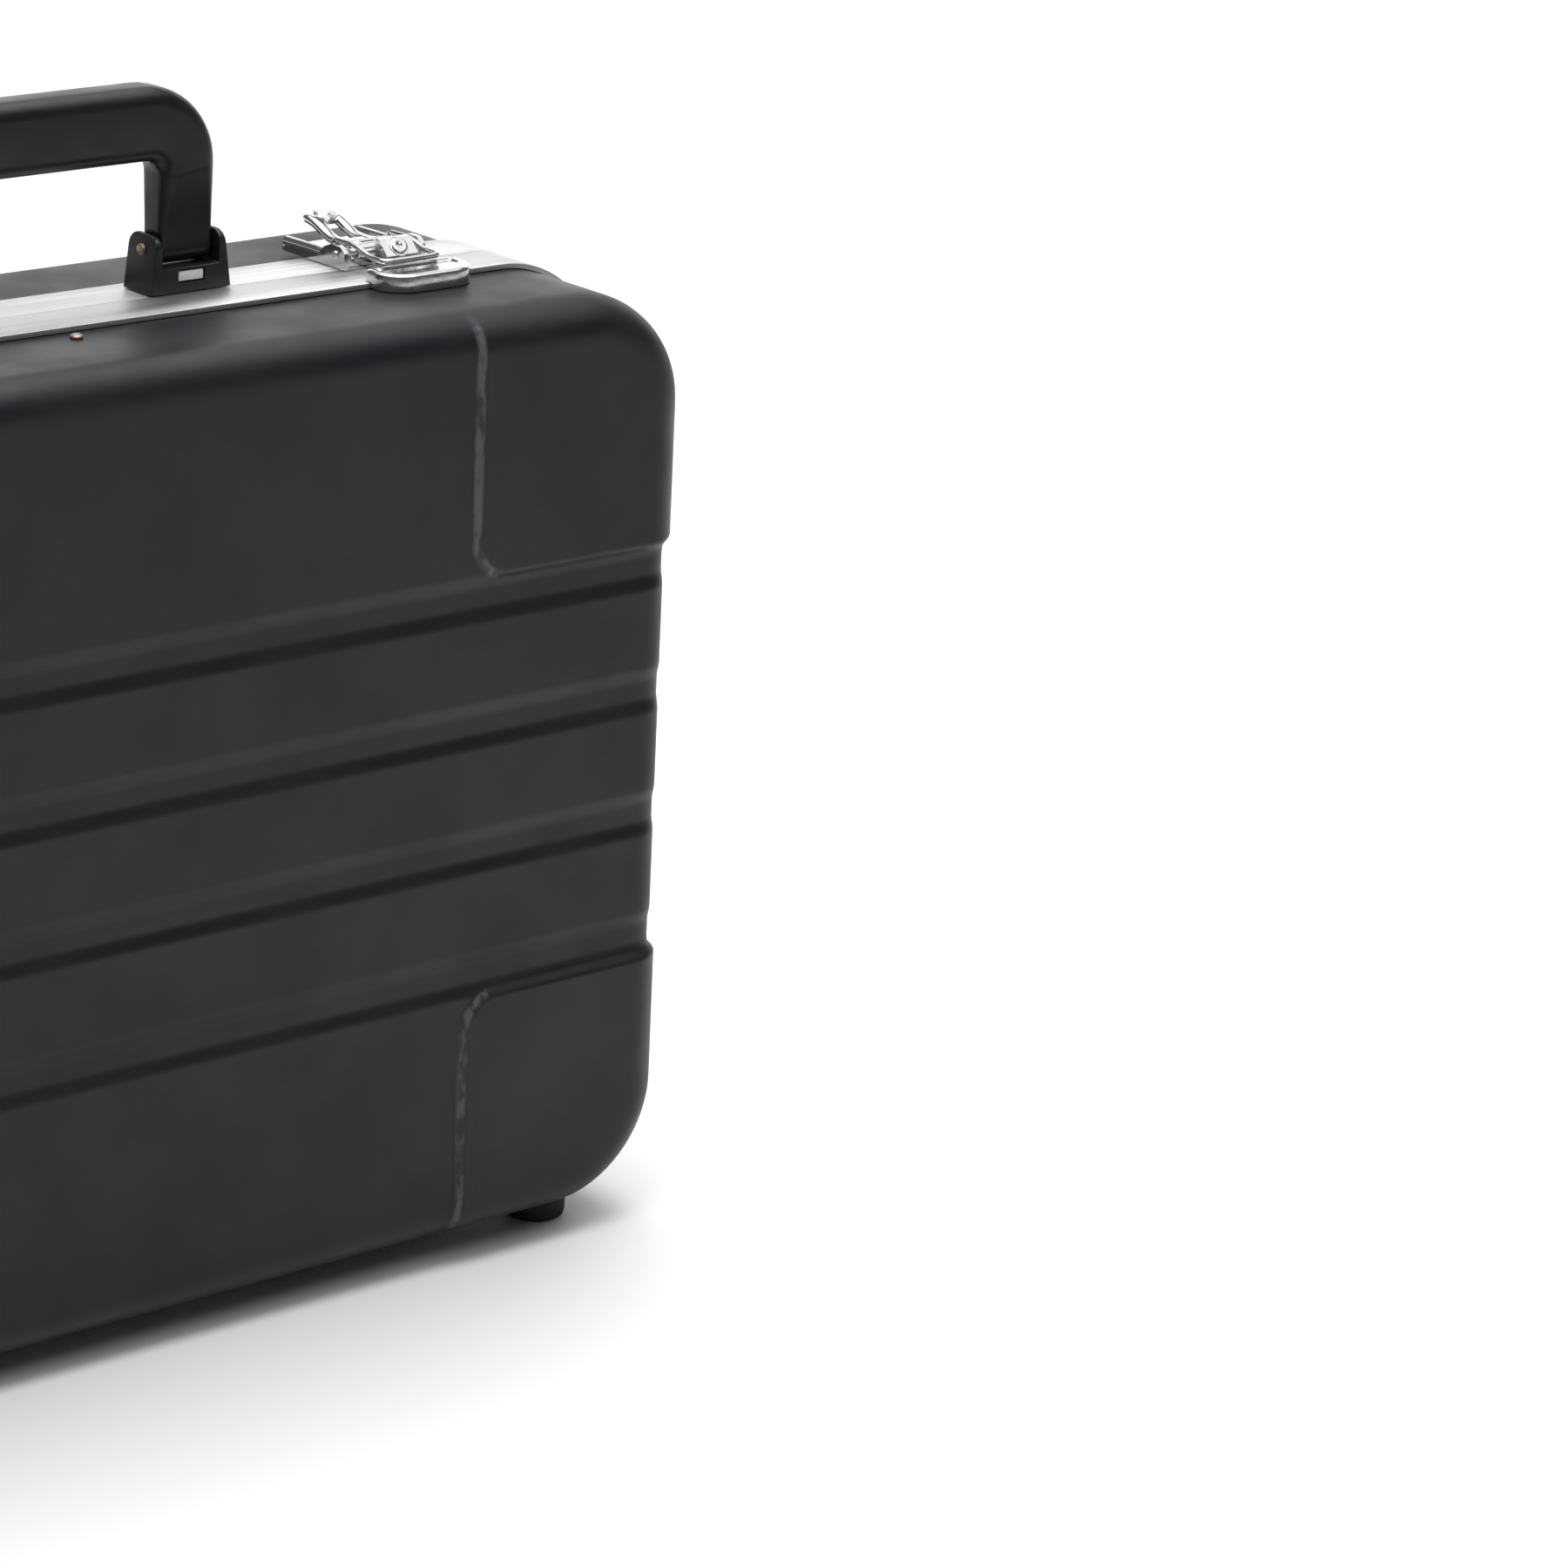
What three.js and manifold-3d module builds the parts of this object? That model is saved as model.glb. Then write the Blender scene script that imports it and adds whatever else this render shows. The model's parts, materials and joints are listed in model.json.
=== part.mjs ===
// Attache-style tool case with a lift-out tray, standing on its feet with the handle up.
// Millimetres, +Z up, +X to the right, the lid faces -Y. The origin is on the floor, below the
// middle of the case, so the parting line between lid and base is the plane Y = 0.
import * as THREE from 'three';
import { mergeVertices } from 'three/addons/utils/BufferGeometryUtils.js';
import Module from 'manifold-3d';

const wasm = await Module();
wasm.setup();

// ---- driving dimensions ----
const gap = 0.3;
const caseWidth = 440;
const caseHeight = 330;
const caseDepth = 140;
const cornerRadius = 42;
const edgeRadius = 13;
const shellWall = 3;
const footHeight = 10;

// ---- places that follow from them ----
const caseBottom = footHeight;
const caseTop = caseBottom + caseHeight;
const caseMiddle = caseBottom + caseHeight / 2;
const halfDepth = caseDepth / 2;

// ---- aluminium valances ----
const valanceRise = 2;
const valanceWidth = 20.5;
const valanceSheet = 1.6;
const valanceLeg = 30;
const partingGap = 0.2;
const valanceTop = caseTop + valanceRise;

// ---- moulded details of the shells ----
const padSpan = 89;
const padHeight = 92;
const padRoundness = 14;
const padRise = { end: 3, top: 0, face: 2 };
const grooveSpacing = 44.8;
const grooveWidth = 11.6;
const grooveDepth = { end: 0.6, face: 1.6 };

// ---- handle and its brackets ----
const handleY = 6.6;
const bracketX = 62.5;
const bracket = { foot: 32, crown: 27, depth: 16.5, height: 20, slot: 22.6, slotFloor: 8.5 };
const pivotHeight = 14.2;
const leg = { width: 21, foot: 10.8, depth: 18 };
const gripRise = 69.5;
const gripHeight = 25;
const gripCorner = 27;
const windowSize = { width: 10.4, height: 4, floor: 3.6, depth: 1.2 };
const handlePinRadius = 2;

// ---- draw latches, measured from the top of the valance ----
const latchX = 141;
const latch = { width: 34, back: 33, sheet: 1.6, wall: 8 };
const leverPin = { y: 2, z: 5, radius: 1.3 };
const lever = { width: 18, tipY: 40, thickness: 2.6, slot: 6 };
const bailPivot = { y: 9, z: 6, radius: 1.2 };
const bail = { inner: 20.8, bar: 2.2, front: -18.5, bottom: 4.8, top: 6.6 };
const keyHousing = { width: 13, front: -13, back: -6, height: 11 };
const keyRadius = 3;
const keyDepth = 5;
const keyProud = 1;
const strike = { width: 38, back: -15.5, front: -33, top: 4.2, corner: 11 };

// ---- hinges under the valances ----
const hingeX = 120;
const hingeLength = 50;
const hingeSheet = 1.3;
const knuckleRadius = 2.6;
const hingePinRadius = 1.2;
const hingeZ = caseBottom - valanceRise - gap - knuckleRadius;

// ---- feet ----
const footX = 185;
const footY = 46;
const footRadius = 11;

// ---- rivets on the shells ----
const rivetInset = 7;

// ---- tray ----
const tray = { width: 416, height: 300, depth: 32, front: 3, wall: 2.2, corner: 40, rim: 3 };
const dividerSheet = 2;
const dividerInset = 4;
const longDividerRise = 42;
const crossDividerPitch = 103;
const ledge = { reach: 17, sheet: 1.7, drop: 20, length: 160 };

// ---- solids ----
function solid(geometry) {
  const plain = geometry.index ? geometry.toNonIndexed() : geometry.clone();
  plain.deleteAttribute('normal');
  plain.deleteAttribute('uv');
  const merged = mergeVertices(plain);
  const corners = merged.index.array;
  const kept = [];
  for (let i = 0; i < corners.length; i += 3) {
    const [a, b, c] = corners.slice(i, i + 3);
    if (a !== b && b !== c && c !== a) kept.push(a, b, c);
  }
  return new wasm.Manifold(new wasm.Mesh({
    numProp: 3,
    vertProperties: merged.attributes.position.array,
    triVerts: new Uint32Array(kept),
  }));
}

function join(first, ...others) {
  return others.reduce((sum, other) => sum.add(other), first);
}

function cut(first, ...tools) {
  return tools.reduce((rest, tool) => rest.subtract(tool), first);
}

// A box given by its lowest and highest corners.
function block(low, high) {
  const size = high.map((value, axis) => value - low[axis]);
  const middle = high.map((value, axis) => (value + low[axis]) / 2);
  return solid(new THREE.BoxGeometry(...size).translate(...middle));
}

// Extrusions of a shape along one axis of the model, from one place on that axis to another.
const axes = {
  x: [new THREE.Vector3(0, 1, 0), new THREE.Vector3(0, 0, 1), new THREE.Vector3(1, 0, 0)],
  y: [new THREE.Vector3(1, 0, 0), new THREE.Vector3(0, 0, 1), new THREE.Vector3(0, -1, 0)],
  z: [new THREE.Vector3(1, 0, 0), new THREE.Vector3(0, 1, 0), new THREE.Vector3(0, 0, 1)],
};

function prism(axis, shape, from, to, { edge = 0, edgeSteps = 3, steps = 6 } = {}) {
  const geometry = new THREE.ExtrudeGeometry(shape, {
    depth: to - from - 2 * edge,
    curveSegments: steps,
    bevelEnabled: edge > 0,
    bevelThickness: edge,
    bevelSize: edge,
    bevelOffset: -edge,
    bevelSegments: edgeSteps,
  });
  geometry.applyMatrix4(new THREE.Matrix4().makeBasis(...axes[axis]));
  const start = axis === 'y' ? to - edge : from + edge;
  const shift = new THREE.Vector3();
  shift[axis] = start;
  return solid(geometry.translate(shift.x, shift.y, shift.z));
}

// A round bar along X, Y or Z.
function rod(axis, radius, from, to, centre, sides = 14) {
  const geometry = new THREE.CylinderGeometry(radius, radius, to - from, sides);
  if (axis === 'x') geometry.rotateZ(-Math.PI / 2);
  if (axis === 'z') geometry.rotateX(Math.PI / 2);
  const middle = { x: centre.x ?? 0, y: centre.y ?? 0, z: centre.z ?? 0 };
  middle[axis] = (from + to) / 2;
  return solid(geometry.translate(middle.x, middle.y, middle.z));
}

// A rectangle with round corners, centred on (cx, cy).
function roundedRectangle(width, height, radius, cx = 0, cy = 0) {
  const x = width / 2;
  const y = height / 2;
  const shape = new THREE.Shape();
  shape.absarc(cx + x - radius, cy - y + radius, radius, -Math.PI / 2, 0);
  shape.absarc(cx + x - radius, cy + y - radius, radius, 0, Math.PI / 2);
  shape.absarc(cx - x + radius, cy + y - radius, radius, Math.PI / 2, Math.PI);
  shape.absarc(cx - x + radius, cy - y + radius, radius, Math.PI, 1.5 * Math.PI);
  return shape;
}

function polygon(points) {
  return new THREE.Shape(points.map(([x, y]) => new THREE.Vector2(x, y)));
}

// The case outline seen from the front, grown outwards by `out`.
function caseOutline(out) {
  return roundedRectangle(caseWidth + 2 * out, caseHeight + 2 * out, cornerRadius + out, 0, caseMiddle);
}

// A closed ring that follows the case outline between two offsets.
function outlineRing(outer, inner, from, to) {
  return cut(
    prism('y', caseOutline(outer), from, to, { steps: 6 }),
    prism('y', caseOutline(inner), from - 1, to + 1, { steps: 6 }),
  );
}

// The whole case as one rounded body, grown by different amounts at the ends, top and faces.
function caseBody(end, top, face, edge) {
  const outline = roundedRectangle(
    caseWidth + 2 * end,
    caseHeight + 2 * top,
    cornerRadius + (end + top) / 2,
    0,
    caseMiddle,
  );
  return prism('y', outline, -halfDepth - face, halfDepth + face, { edge, edgeSteps: 3, steps: 6 });
}

// ---- finishes ----
const finishes = {
  shell: { color: 0x2f3133, roughness: 0.55, metalness: 0 },
  handle: { color: 0x232426, roughness: 0.45, metalness: 0 },
  bracket: { color: 0x1d1e20, roughness: 0.5, metalness: 0 },
  aluminium: { color: 0xbfc1c2, roughness: 0.35, metalness: 1 },
  chrome: { color: 0xe2e4e6, roughness: 0.12, metalness: 1 },
  steel: { color: 0x9a9c9e, roughness: 0.35, metalness: 1 },
  rivet: { color: 0xb98f80, roughness: 0.4, metalness: 1 },
  rubber: { color: 0x161616, roughness: 0.85, metalness: 0 },
  tray: { color: 0x55585b, roughness: 0.6, metalness: 0 },
};

const group = new THREE.Group();

function piece(name, shape, finish, place = [0, 0, 0], turn = 0) {
  const mesh = shape.getMesh();
  const geometry = new THREE.BufferGeometry();
  geometry.setAttribute('position', new THREE.BufferAttribute(mesh.vertProperties, 3));
  geometry.setIndex(new THREE.BufferAttribute(mesh.triVerts, 1));
  geometry.computeVertexNormals();
  const object = new THREE.Mesh(geometry, new THREE.MeshStandardMaterial(finishes[finish]));
  object.name = name;
  object.position.set(...place);
  object.rotation.z = turn;
  group.add(object);
}

// ---- shells ----

// One corner pad's outline: its free inner corner is round, the others lie outside the case.
function padOutline(side, atTop) {
  const inner = side * (caseWidth / 2 - padSpan);
  const outer = side * caseWidth;
  const low = atTop ? caseTop - padHeight : caseBottom + padHeight;
  const far = atTop ? caseTop + caseHeight : caseBottom - caseHeight;
  const middleX = (inner + outer) / 2;
  const middleZ = (low + far) / 2;
  const width = Math.abs(outer - inner);
  const height = Math.abs(far - low);
  return roundedRectangle(width, height, padRoundness, middleX, middleZ);
}

function groove(row) {
  const middle = caseMiddle + row * grooveSpacing;
  const floor = grooveWidth / 2 - grooveDepth.face;
  const mouth = grooveWidth / 2 + grooveDepth.face;
  const face = halfDepth + grooveDepth.face;
  const bottom = halfDepth - grooveDepth.face;
  const reach = caseWidth / 2 + 1;
  const profile = [
    [-face, middle - mouth],
    [-bottom, middle - floor],
    [bottom, middle - floor],
    [face, middle - mouth],
    [face, middle + mouth],
    [bottom, middle + floor],
    [-bottom, middle + floor],
    [-face, middle + mouth],
  ];
  return prism('x', polygon(profile), -reach, reach);
}

function wholeShell() {
  const plain = caseBody(0, 0, 0, edgeRadius);
  const sunk = caseBody(-grooveDepth.end, 0, -grooveDepth.face, edgeRadius);
  const raised = caseBody(padRise.end, padRise.top, padRise.face, edgeRadius + 1);
  const hollow = caseBody(-shellWall, -shellWall, -shellWall, edgeRadius - shellWall);
  const grooves = [-1.5, -0.5, 0.5, 1.5].map((row) => cut(groove(row), sunk));
  const pads = [-1, 1].flatMap((side) => [true, false].map(
    (atTop) => raised.intersect(prism('y', padOutline(side, atTop), -caseDepth, caseDepth)),
  ));
  return cut(join(cut(plain, ...grooves), ...pads), hollow);
}

// The band round the parting line where the valances wrap the edges of both shells.
function valanceBand() {
  const reach = valanceWidth + gap;
  const pastPads = padRise.end + 1;
  return outlineRing(pastPads, 0, -reach, reach);
}

function makeShells() {
  const whole = cut(wholeShell(), valanceBand());
  const edge = partingGap + valanceSheet + gap;
  const wide = caseWidth;
  const tall = 2 * caseHeight;
  const front = block([-wide, -caseDepth, -caseHeight], [wide, -edge, tall]);
  const back = block([-wide, edge, -caseHeight], [wide, caseDepth, tall]);
  piece('front_shell', whole.intersect(front), 'shell');
  piece('back_shell', whole.intersect(back), 'shell');
}

// ---- valances: a channel of sheet that wraps the shell's edge ----
function valance(name, side) {
  const span = (outer, inner, near, far) => outlineRing(
    outer,
    inner,
    Math.min(side * near, side * far),
    Math.max(side * near, side * far),
  );
  const innerFace = -shellWall - gap - valanceSheet;
  const outerBand = span(valanceRise, gap, partingGap, valanceWidth);
  const partingFlange = span(valanceRise, innerFace, partingGap, partingGap + valanceSheet);
  const innerLeg = span(-shellWall - gap, innerFace, partingGap, valanceLeg);
  piece(name, join(outerBand, partingFlange, innerLeg), 'aluminium');
}

// ---- handle ----
function makeBracket(side) {
  const name = side > 0 ? 'right' : 'left';
  const place = [side * bracketX, handleY, valanceTop + gap];
  const foot = bracket.foot / 2;
  const crown = bracket.crown / 2;
  const half = bracket.depth / 2;
  const shoulder = 3;
  const outline = polygon([
    [-foot, 0],
    [foot, 0],
    [crown + 1, bracket.height - shoulder],
    [crown - shoulder, bracket.height],
    [-crown + shoulder, bracket.height],
    [-crown - 1, bracket.height - shoulder],
  ]);
  const slot = block([-bracket.slot / 2, -half - 1, bracket.slotFloor], [bracket.slot / 2, half + 1, 40]);
  const paneX = windowSize.width / 2;
  const paneTop = windowSize.floor + windowSize.height;
  const pocket = block([-paneX, -half - 1, windowSize.floor], [paneX, -half + windowSize.depth, paneTop]);
  const bore = rod('x', handlePinRadius + gap, -foot, foot, { z: pivotHeight });
  piece(`handle_bracket_${name}`, cut(prism('y', outline, -half, half), slot, pocket, bore), 'bracket', place);

  const inset = 0.2;
  const plate = block(
    [-paneX + gap, -half + inset, windowSize.floor + gap],
    [paneX - gap, -half + windowSize.depth - gap, paneTop - gap],
  );
  piece(`bracket_plate_${name}`, plate, 'aluminium', place);

  const pinReach = crown + 1.6;
  const pin = rod('x', handlePinRadius, -pinReach, pinReach, { z: pivotHeight });
  piece(`handle_pin_${name}`, pin, 'rivet', place);
}

// The handle's outline from the front: a broad arch whose legs end round their pivots.
function archOutline() {
  const outer = bracketX + leg.width / 2;
  const inner = bracketX - leg.width / 2;
  const under = gripRise - gripHeight;
  const bottom = pivotHeight - leg.foot / 2;
  const innerCorner = 5;
  const shape = new THREE.Shape();
  shape.moveTo(outer, bottom);
  shape.lineTo(outer, gripRise - gripCorner);
  shape.absarc(outer - gripCorner, gripRise - gripCorner, gripCorner, 0, Math.PI / 2);
  shape.absarc(-outer + gripCorner, gripRise - gripCorner, gripCorner, Math.PI / 2, Math.PI);
  shape.lineTo(-outer, bottom);
  shape.lineTo(-inner, bottom);
  shape.absarc(-inner + innerCorner, under - innerCorner, innerCorner, Math.PI, Math.PI / 2, true);
  shape.absarc(inner - innerCorner, under - innerCorner, innerCorner, Math.PI / 2, 0, true);
  shape.lineTo(inner, bottom);
  return shape;
}

// The handle's outline from the side: round at the pivot, then widening to the grip.
function handleSide() {
  const foot = leg.foot / 2;
  const half = leg.depth / 2;
  const shape = new THREE.Shape();
  shape.absarc(0, pivotHeight, foot, Math.PI, 2 * Math.PI);
  shape.lineTo(foot, pivotHeight + 9);
  shape.lineTo(half, pivotHeight + 24);
  shape.lineTo(half, gripRise + 1);
  shape.lineTo(-half, gripRise + 1);
  shape.lineTo(-half, pivotHeight + 24);
  shape.lineTo(-foot, pivotHeight + 9);
  return shape;
}

function makeHandle() {
  const half = leg.depth / 2;
  const arch = prism('y', archOutline(), -half, half, { edge: 5, edgeSteps: 3, steps: 6 });
  const side = prism('x', handleSide(), -100, 100, { steps: 8 });
  const tongues = [-1, 1].map((way) => block(
    [way * bracketX - leg.width / 2, -leg.foot / 2, pivotHeight - leg.foot / 2],
    [way * bracketX + leg.width / 2, leg.foot / 2, pivotHeight + 16],
  ));
  const bore = rod('x', handlePinRadius + gap, -100, 100, { z: pivotHeight });
  const shape = cut(join(arch, ...tongues).intersect(side), bore);
  piece('handle', shape, 'handle', [0, handleY, valanceTop + gap]);
}

// ---- latches ----

// The key barrel leans forwards by 45 degrees; its face stands just proud of the housing's slope.
const keyLean = Math.PI / 4;
const keySlope = 5;
const keyFace = {
  y: keyHousing.front + keySlope / 2,
  z: keyHousing.height - keySlope / 2,
};

function leaningRod(radius, depth, proud) {
  const geometry = new THREE.CylinderGeometry(radius, radius, depth + proud, 14);
  geometry.translate(0, (proud - depth) / 2, 0);
  geometry.rotateX(Math.PI - keyLean);
  return solid(geometry.translate(0, keyFace.y, keyFace.z));
}

// The base plate with its two walls and, on a tongue in front, the key housing.
function latchBase() {
  const half = latch.width / 2;
  const floorTop = gap + latch.sheet;
  const floor = block([-half, 0.8, gap], [half, latch.back, floorTop]);
  const wallOutline = polygon([
    [-3, gap],
    [latch.back, gap],
    [latch.back, 3],
    [latch.back - 4, 5.5],
    [8, latch.wall],
    [-1, latch.wall],
    [-3, latch.wall - 2],
  ]);
  const walls = [-half, half - latch.sheet].map((x) => prism('x', wallOutline, x, x + latch.sheet));
  const tongueHalf = keyHousing.width / 2;
  const tongue = block([-tongueHalf, keyHousing.front, gap], [tongueHalf, 2, floorTop]);
  const housing = prism('x', polygon([
    [keyHousing.front, gap],
    [keyHousing.back, gap],
    [keyHousing.back, keyHousing.height],
    [keyHousing.front + keySlope, keyHousing.height],
    [keyHousing.front, keyHousing.height - keySlope],
  ]), -tongueHalf, tongueHalf);
  const pinBore = rod('x', leverPin.radius + gap, -half - 1, half + 1, leverPin);
  const keyBore = leaningRod(keyRadius + gap, keyDepth + gap, 5);
  return cut(join(floor, ...walls, tongue, housing), pinBore, keyBore);
}

// The cylinder that the key turns, with its slot.
function keyCylinder() {
  const slot = new THREE.BoxGeometry(0.9, 3, 3.4);
  slot.rotateX(Math.PI - keyLean);
  slot.translate(0, keyFace.y, keyFace.z);
  return cut(leaningRod(keyRadius, keyDepth, keyProud), solid(slot));
}

// The lever: a nose round its pin, two rails with a slot between, and a raised round tip.
function latchLever() {
  const half = lever.width / 2;
  const under = leverPin.z - lever.thickness / 2;
  const over = leverPin.z + lever.thickness / 2;
  const rise = 4;
  const tipRadius = 6.5;
  const sideOutline = polygon([
    [leverPin.y, under],
    [lever.tipY - 14, under + 0.6],
    [lever.tipY - 7, under + rise],
    [lever.tipY, under + rise + 1],
    [lever.tipY, over + rise + 1.2],
    [lever.tipY - 8, over + rise + 0.6],
    [lever.tipY - 15, over + 1.6],
    [leverPin.y, over],
  ]);
  const plan = new THREE.Shape();
  plan.moveTo(-half, -10);
  plan.lineTo(half, -10);
  plan.lineTo(half, lever.tipY - 16);
  plan.lineTo(tipRadius, lever.tipY - tipRadius - 2);
  plan.absarc(0, lever.tipY - tipRadius, tipRadius, 0, Math.PI);
  plan.lineTo(-tipRadius, lever.tipY - tipRadius - 2);
  plan.lineTo(-half, lever.tipY - 16);
  const blade = prism('x', sideOutline, -half, half);
  const nose = rod('x', 2.8, -half, half, leverPin);
  const body = join(blade, nose).intersect(prism('z', plan, 0, 20));
  const slot = prism(
    'z',
    roundedRectangle(lever.slot, 15, lever.slot / 2 - 0.1, 0, 21.5),
    0,
    20,
    { steps: 4 },
  );
  const trunnionReach = bail.inner / 2 + bail.bar + gap;
  const trunnion = rod('x', bailPivot.radius, -trunnionReach, trunnionReach, bailPivot, 14);
  const boss = rod('x', 2, -half, half, bailPivot, 14);
  const pinBore = rod('x', leverPin.radius + gap, -20, 20, leverPin);
  return cut(join(body, boss, trunnion), slot, pinBore);
}

// The bail: a U of flat bar that hangs on the lever's trunnions and lies over the strike.
function latchBail() {
  const inner = bail.inner / 2;
  const outer = inner + bail.bar;
  const eye = 2.6;
  const overPin = leverPin.z + leverPin.radius + 2 * gap;
  const armOutline = polygon([
    [bail.front, bail.bottom],
    [-10, bail.bottom],
    [-1.5, overPin],
    [bailPivot.y, overPin],
    [bailPivot.y, bailPivot.z + eye],
    [-3, bailPivot.z + eye],
    [-11, bail.top],
    [bail.front, bail.top],
  ]);
  const arms = [-outer, inner].map((x) => join(
    prism('x', armOutline, x, x + bail.bar),
    rod('x', eye, x, x + bail.bar, bailPivot, 16),
  ));
  const crossbar = rod('x', 1.1, -outer, outer, { y: bail.front, z: bail.bottom + 1.1 }, 10);
  const bore = rod('x', bailPivot.radius + gap, -20, 20, bailPivot, 14);
  return cut(join(...arms, crossbar), bore);
}

// The strike: a hollow cap with a round front, on the lid's valance and shell.
function latchStrike() {
  const half = strike.width / 2;
  const plan = (inset) => {
    const corner = strike.corner - inset;
    const shape = new THREE.Shape();
    shape.moveTo(-half + inset, strike.back - inset);
    shape.lineTo(-half + inset, strike.front + inset + corner);
    shape.absarc(-half + inset + corner, strike.front + inset + corner, corner, Math.PI, 1.5 * Math.PI);
    shape.absarc(half - inset - corner, strike.front + inset + corner, corner, 1.5 * Math.PI, 2 * Math.PI);
    shape.lineTo(half - inset, strike.back - inset);
    return shape;
  };
  const step = -valanceWidth - partingGap - gap;
  const low = gap - valanceRise;
  const onValance = prism('z', plan(0), gap, strike.top, { steps: 5 });
  const onShell = prism('z', plan(0), low, gap + 1, { steps: 5 });
  const shellSide = block([-half - 1, strike.front - 1, low - 1], [half + 1, step, gap + 2]);
  const sheet = 1.5;
  const pocket = prism('z', plan(sheet), low - 1, strike.top - sheet, { steps: 5 });
  return cut(join(onValance, onShell.intersect(shellSide)), pocket);
}

function makeLatch(side) {
  const name = side > 0 ? 'right' : 'left';
  const place = [side * latchX, 0, valanceTop];
  const pinReach = latch.width / 2 + 0.8;
  piece(`latch_base_${name}`, latchBase(), 'chrome', place);
  piece(`key_cylinder_${name}`, keyCylinder(), 'chrome', place);
  piece(`latch_lever_${name}`, latchLever(), 'chrome', place);
  piece(`lever_pin_${name}`, rod('x', leverPin.radius, -pinReach, pinReach, leverPin), 'steel', place);
  piece(`latch_bail_${name}`, latchBail(), 'chrome', place);
  piece(`latch_strike_${name}`, latchStrike(), 'chrome', place);
}

// ---- hinges ----
function makeHinge(side) {
  const name = side > 0 ? 'right' : 'left';
  const place = [side * hingeX, 0, hingeZ];
  const half = hingeLength / 2;
  const third = hingeLength / 6;
  const leaf = (way) => {
    const near = way * 0.01;
    const far = way * (valanceWidth - 2);
    return block(
      [-half, Math.min(near, far), knuckleRadius - hingeSheet],
      [half, Math.max(near, far), knuckleRadius],
    );
  };
  const bore = rod('x', hingePinRadius + gap, -half - 1, half + 1, {});
  const knuckle = (from, to) => rod('x', knuckleRadius, from, to, {}, 16);
  const middleRoom = block([-third - gap, -4, -4], [third + gap, 3.2, 4]);
  const outerRoom = (way) => block(
    [Math.min(way * third, way * hingeLength), -3.2, -4],
    [Math.max(way * third, way * hingeLength), 4, 4],
  );
  const baseLeaf = cut(join(leaf(1), knuckle(-half, half)), middleRoom, bore);
  const lidLeaf = cut(join(leaf(-1), knuckle(-half, half)), outerRoom(1), outerRoom(-1), bore);
  piece(`hinge_leaf_base_${name}`, baseLeaf, 'steel', place);
  piece(`hinge_leaf_lid_${name}`, lidLeaf, 'steel', place);
  piece(`hinge_pin_${name}`, rod('x', hingePinRadius, -half - 0.5, half + 0.5, {}), 'steel', place);
}

// ---- feet and rivets ----
function makeFoot(side, depthWay) {
  const name = `${depthWay < 0 ? 'front' : 'back'}_${side > 0 ? 'right' : 'left'}`;
  const place = [side * footX, depthWay * footY, 0];
  const top = caseBottom - padRise.top - gap;
  const recess = { radius: 4.5, depth: 3.4 };
  const shankRadius = 1.6;
  const half = [
    [recess.radius, 0],
    [footRadius - 2.2, 0],
    [footRadius - 0.6, 0.8],
    [footRadius - 0.3, 2],
    [footRadius, top],
    [shankRadius + gap, top],
    [shankRadius + gap, recess.depth],
    [recess.radius, recess.depth],
    [recess.radius, 0],
  ].map(([radius, height]) => new THREE.Vector2(radius, height));
  const ring = new THREE.LatheGeometry(half, 20).rotateX(Math.PI / 2);
  piece(`foot_${name}`, solid(ring), 'rubber', place);
  const screw = join(
    rod('z', recess.radius - gap, recess.depth - 2.2, recess.depth - gap, {}, 12),
    rod('z', shankRadius, recess.depth - 1, top, {}, 8),
  );
  piece(`foot_screw_${name}`, screw, 'steel', place);
}

function makeRivet(name, way) {
  const place = [0, way * (valanceWidth + rivetInset), caseTop + gap];
  const dome = new THREE.LatheGeometry([
    new THREE.Vector2(0, 0),
    new THREE.Vector2(2.4, 0),
    new THREE.Vector2(2.1, 0.6),
    new THREE.Vector2(1.2, 1.1),
    new THREE.Vector2(0, 1.3),
  ], 16).rotateX(Math.PI / 2);
  piece(name, solid(dome), 'rivet', place);
}

// ---- tray ----
function trayOutline(out) {
  return roundedRectangle(tray.width + 2 * out, tray.height + 2 * out, tray.corner + out, 0, caseMiddle);
}

function makeTray() {
  const back = tray.front + tray.depth;
  const outer = prism('y', trayOutline(0), tray.front, back, { steps: 5 });
  const rim = prism('y', trayOutline(tray.rim), tray.front, tray.front + tray.wall, { steps: 5 });
  const inside = prism('y', trayOutline(-tray.wall), tray.front - 1, back - tray.wall, { steps: 5 });
  const notchRadius = 15;
  const reach = tray.width / 2 + tray.rim + 1;
  const notch = rod('x', notchRadius, -reach, reach, { y: tray.front, z: caseMiddle }, 18);
  piece('tray_pan', cut(join(outer, rim), inside, notch), 'tray');

  const dividerFront = tray.front + dividerInset;
  const dividerBack = back - tray.wall - gap;
  const innerX = tray.width / 2 - tray.wall - gap;
  const innerBottom = caseMiddle - tray.height / 2 + tray.wall + gap;
  const longBottom = caseMiddle + longDividerRise;
  const long = block([-innerX, dividerFront, longBottom], [innerX, dividerBack, longBottom + dividerSheet]);
  piece('tray_long_divider', long, 'tray');
  ['left', 'middle', 'right'].forEach((name, index) => {
    const x = (index - 1) * crossDividerPitch;
    const cross = block(
      [x - dividerSheet / 2, dividerFront, innerBottom],
      [x + dividerSheet / 2, dividerBack, longBottom - gap],
    );
    piece(`tray_cross_divider_${name}`, cross, 'tray');
  });
}

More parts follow.
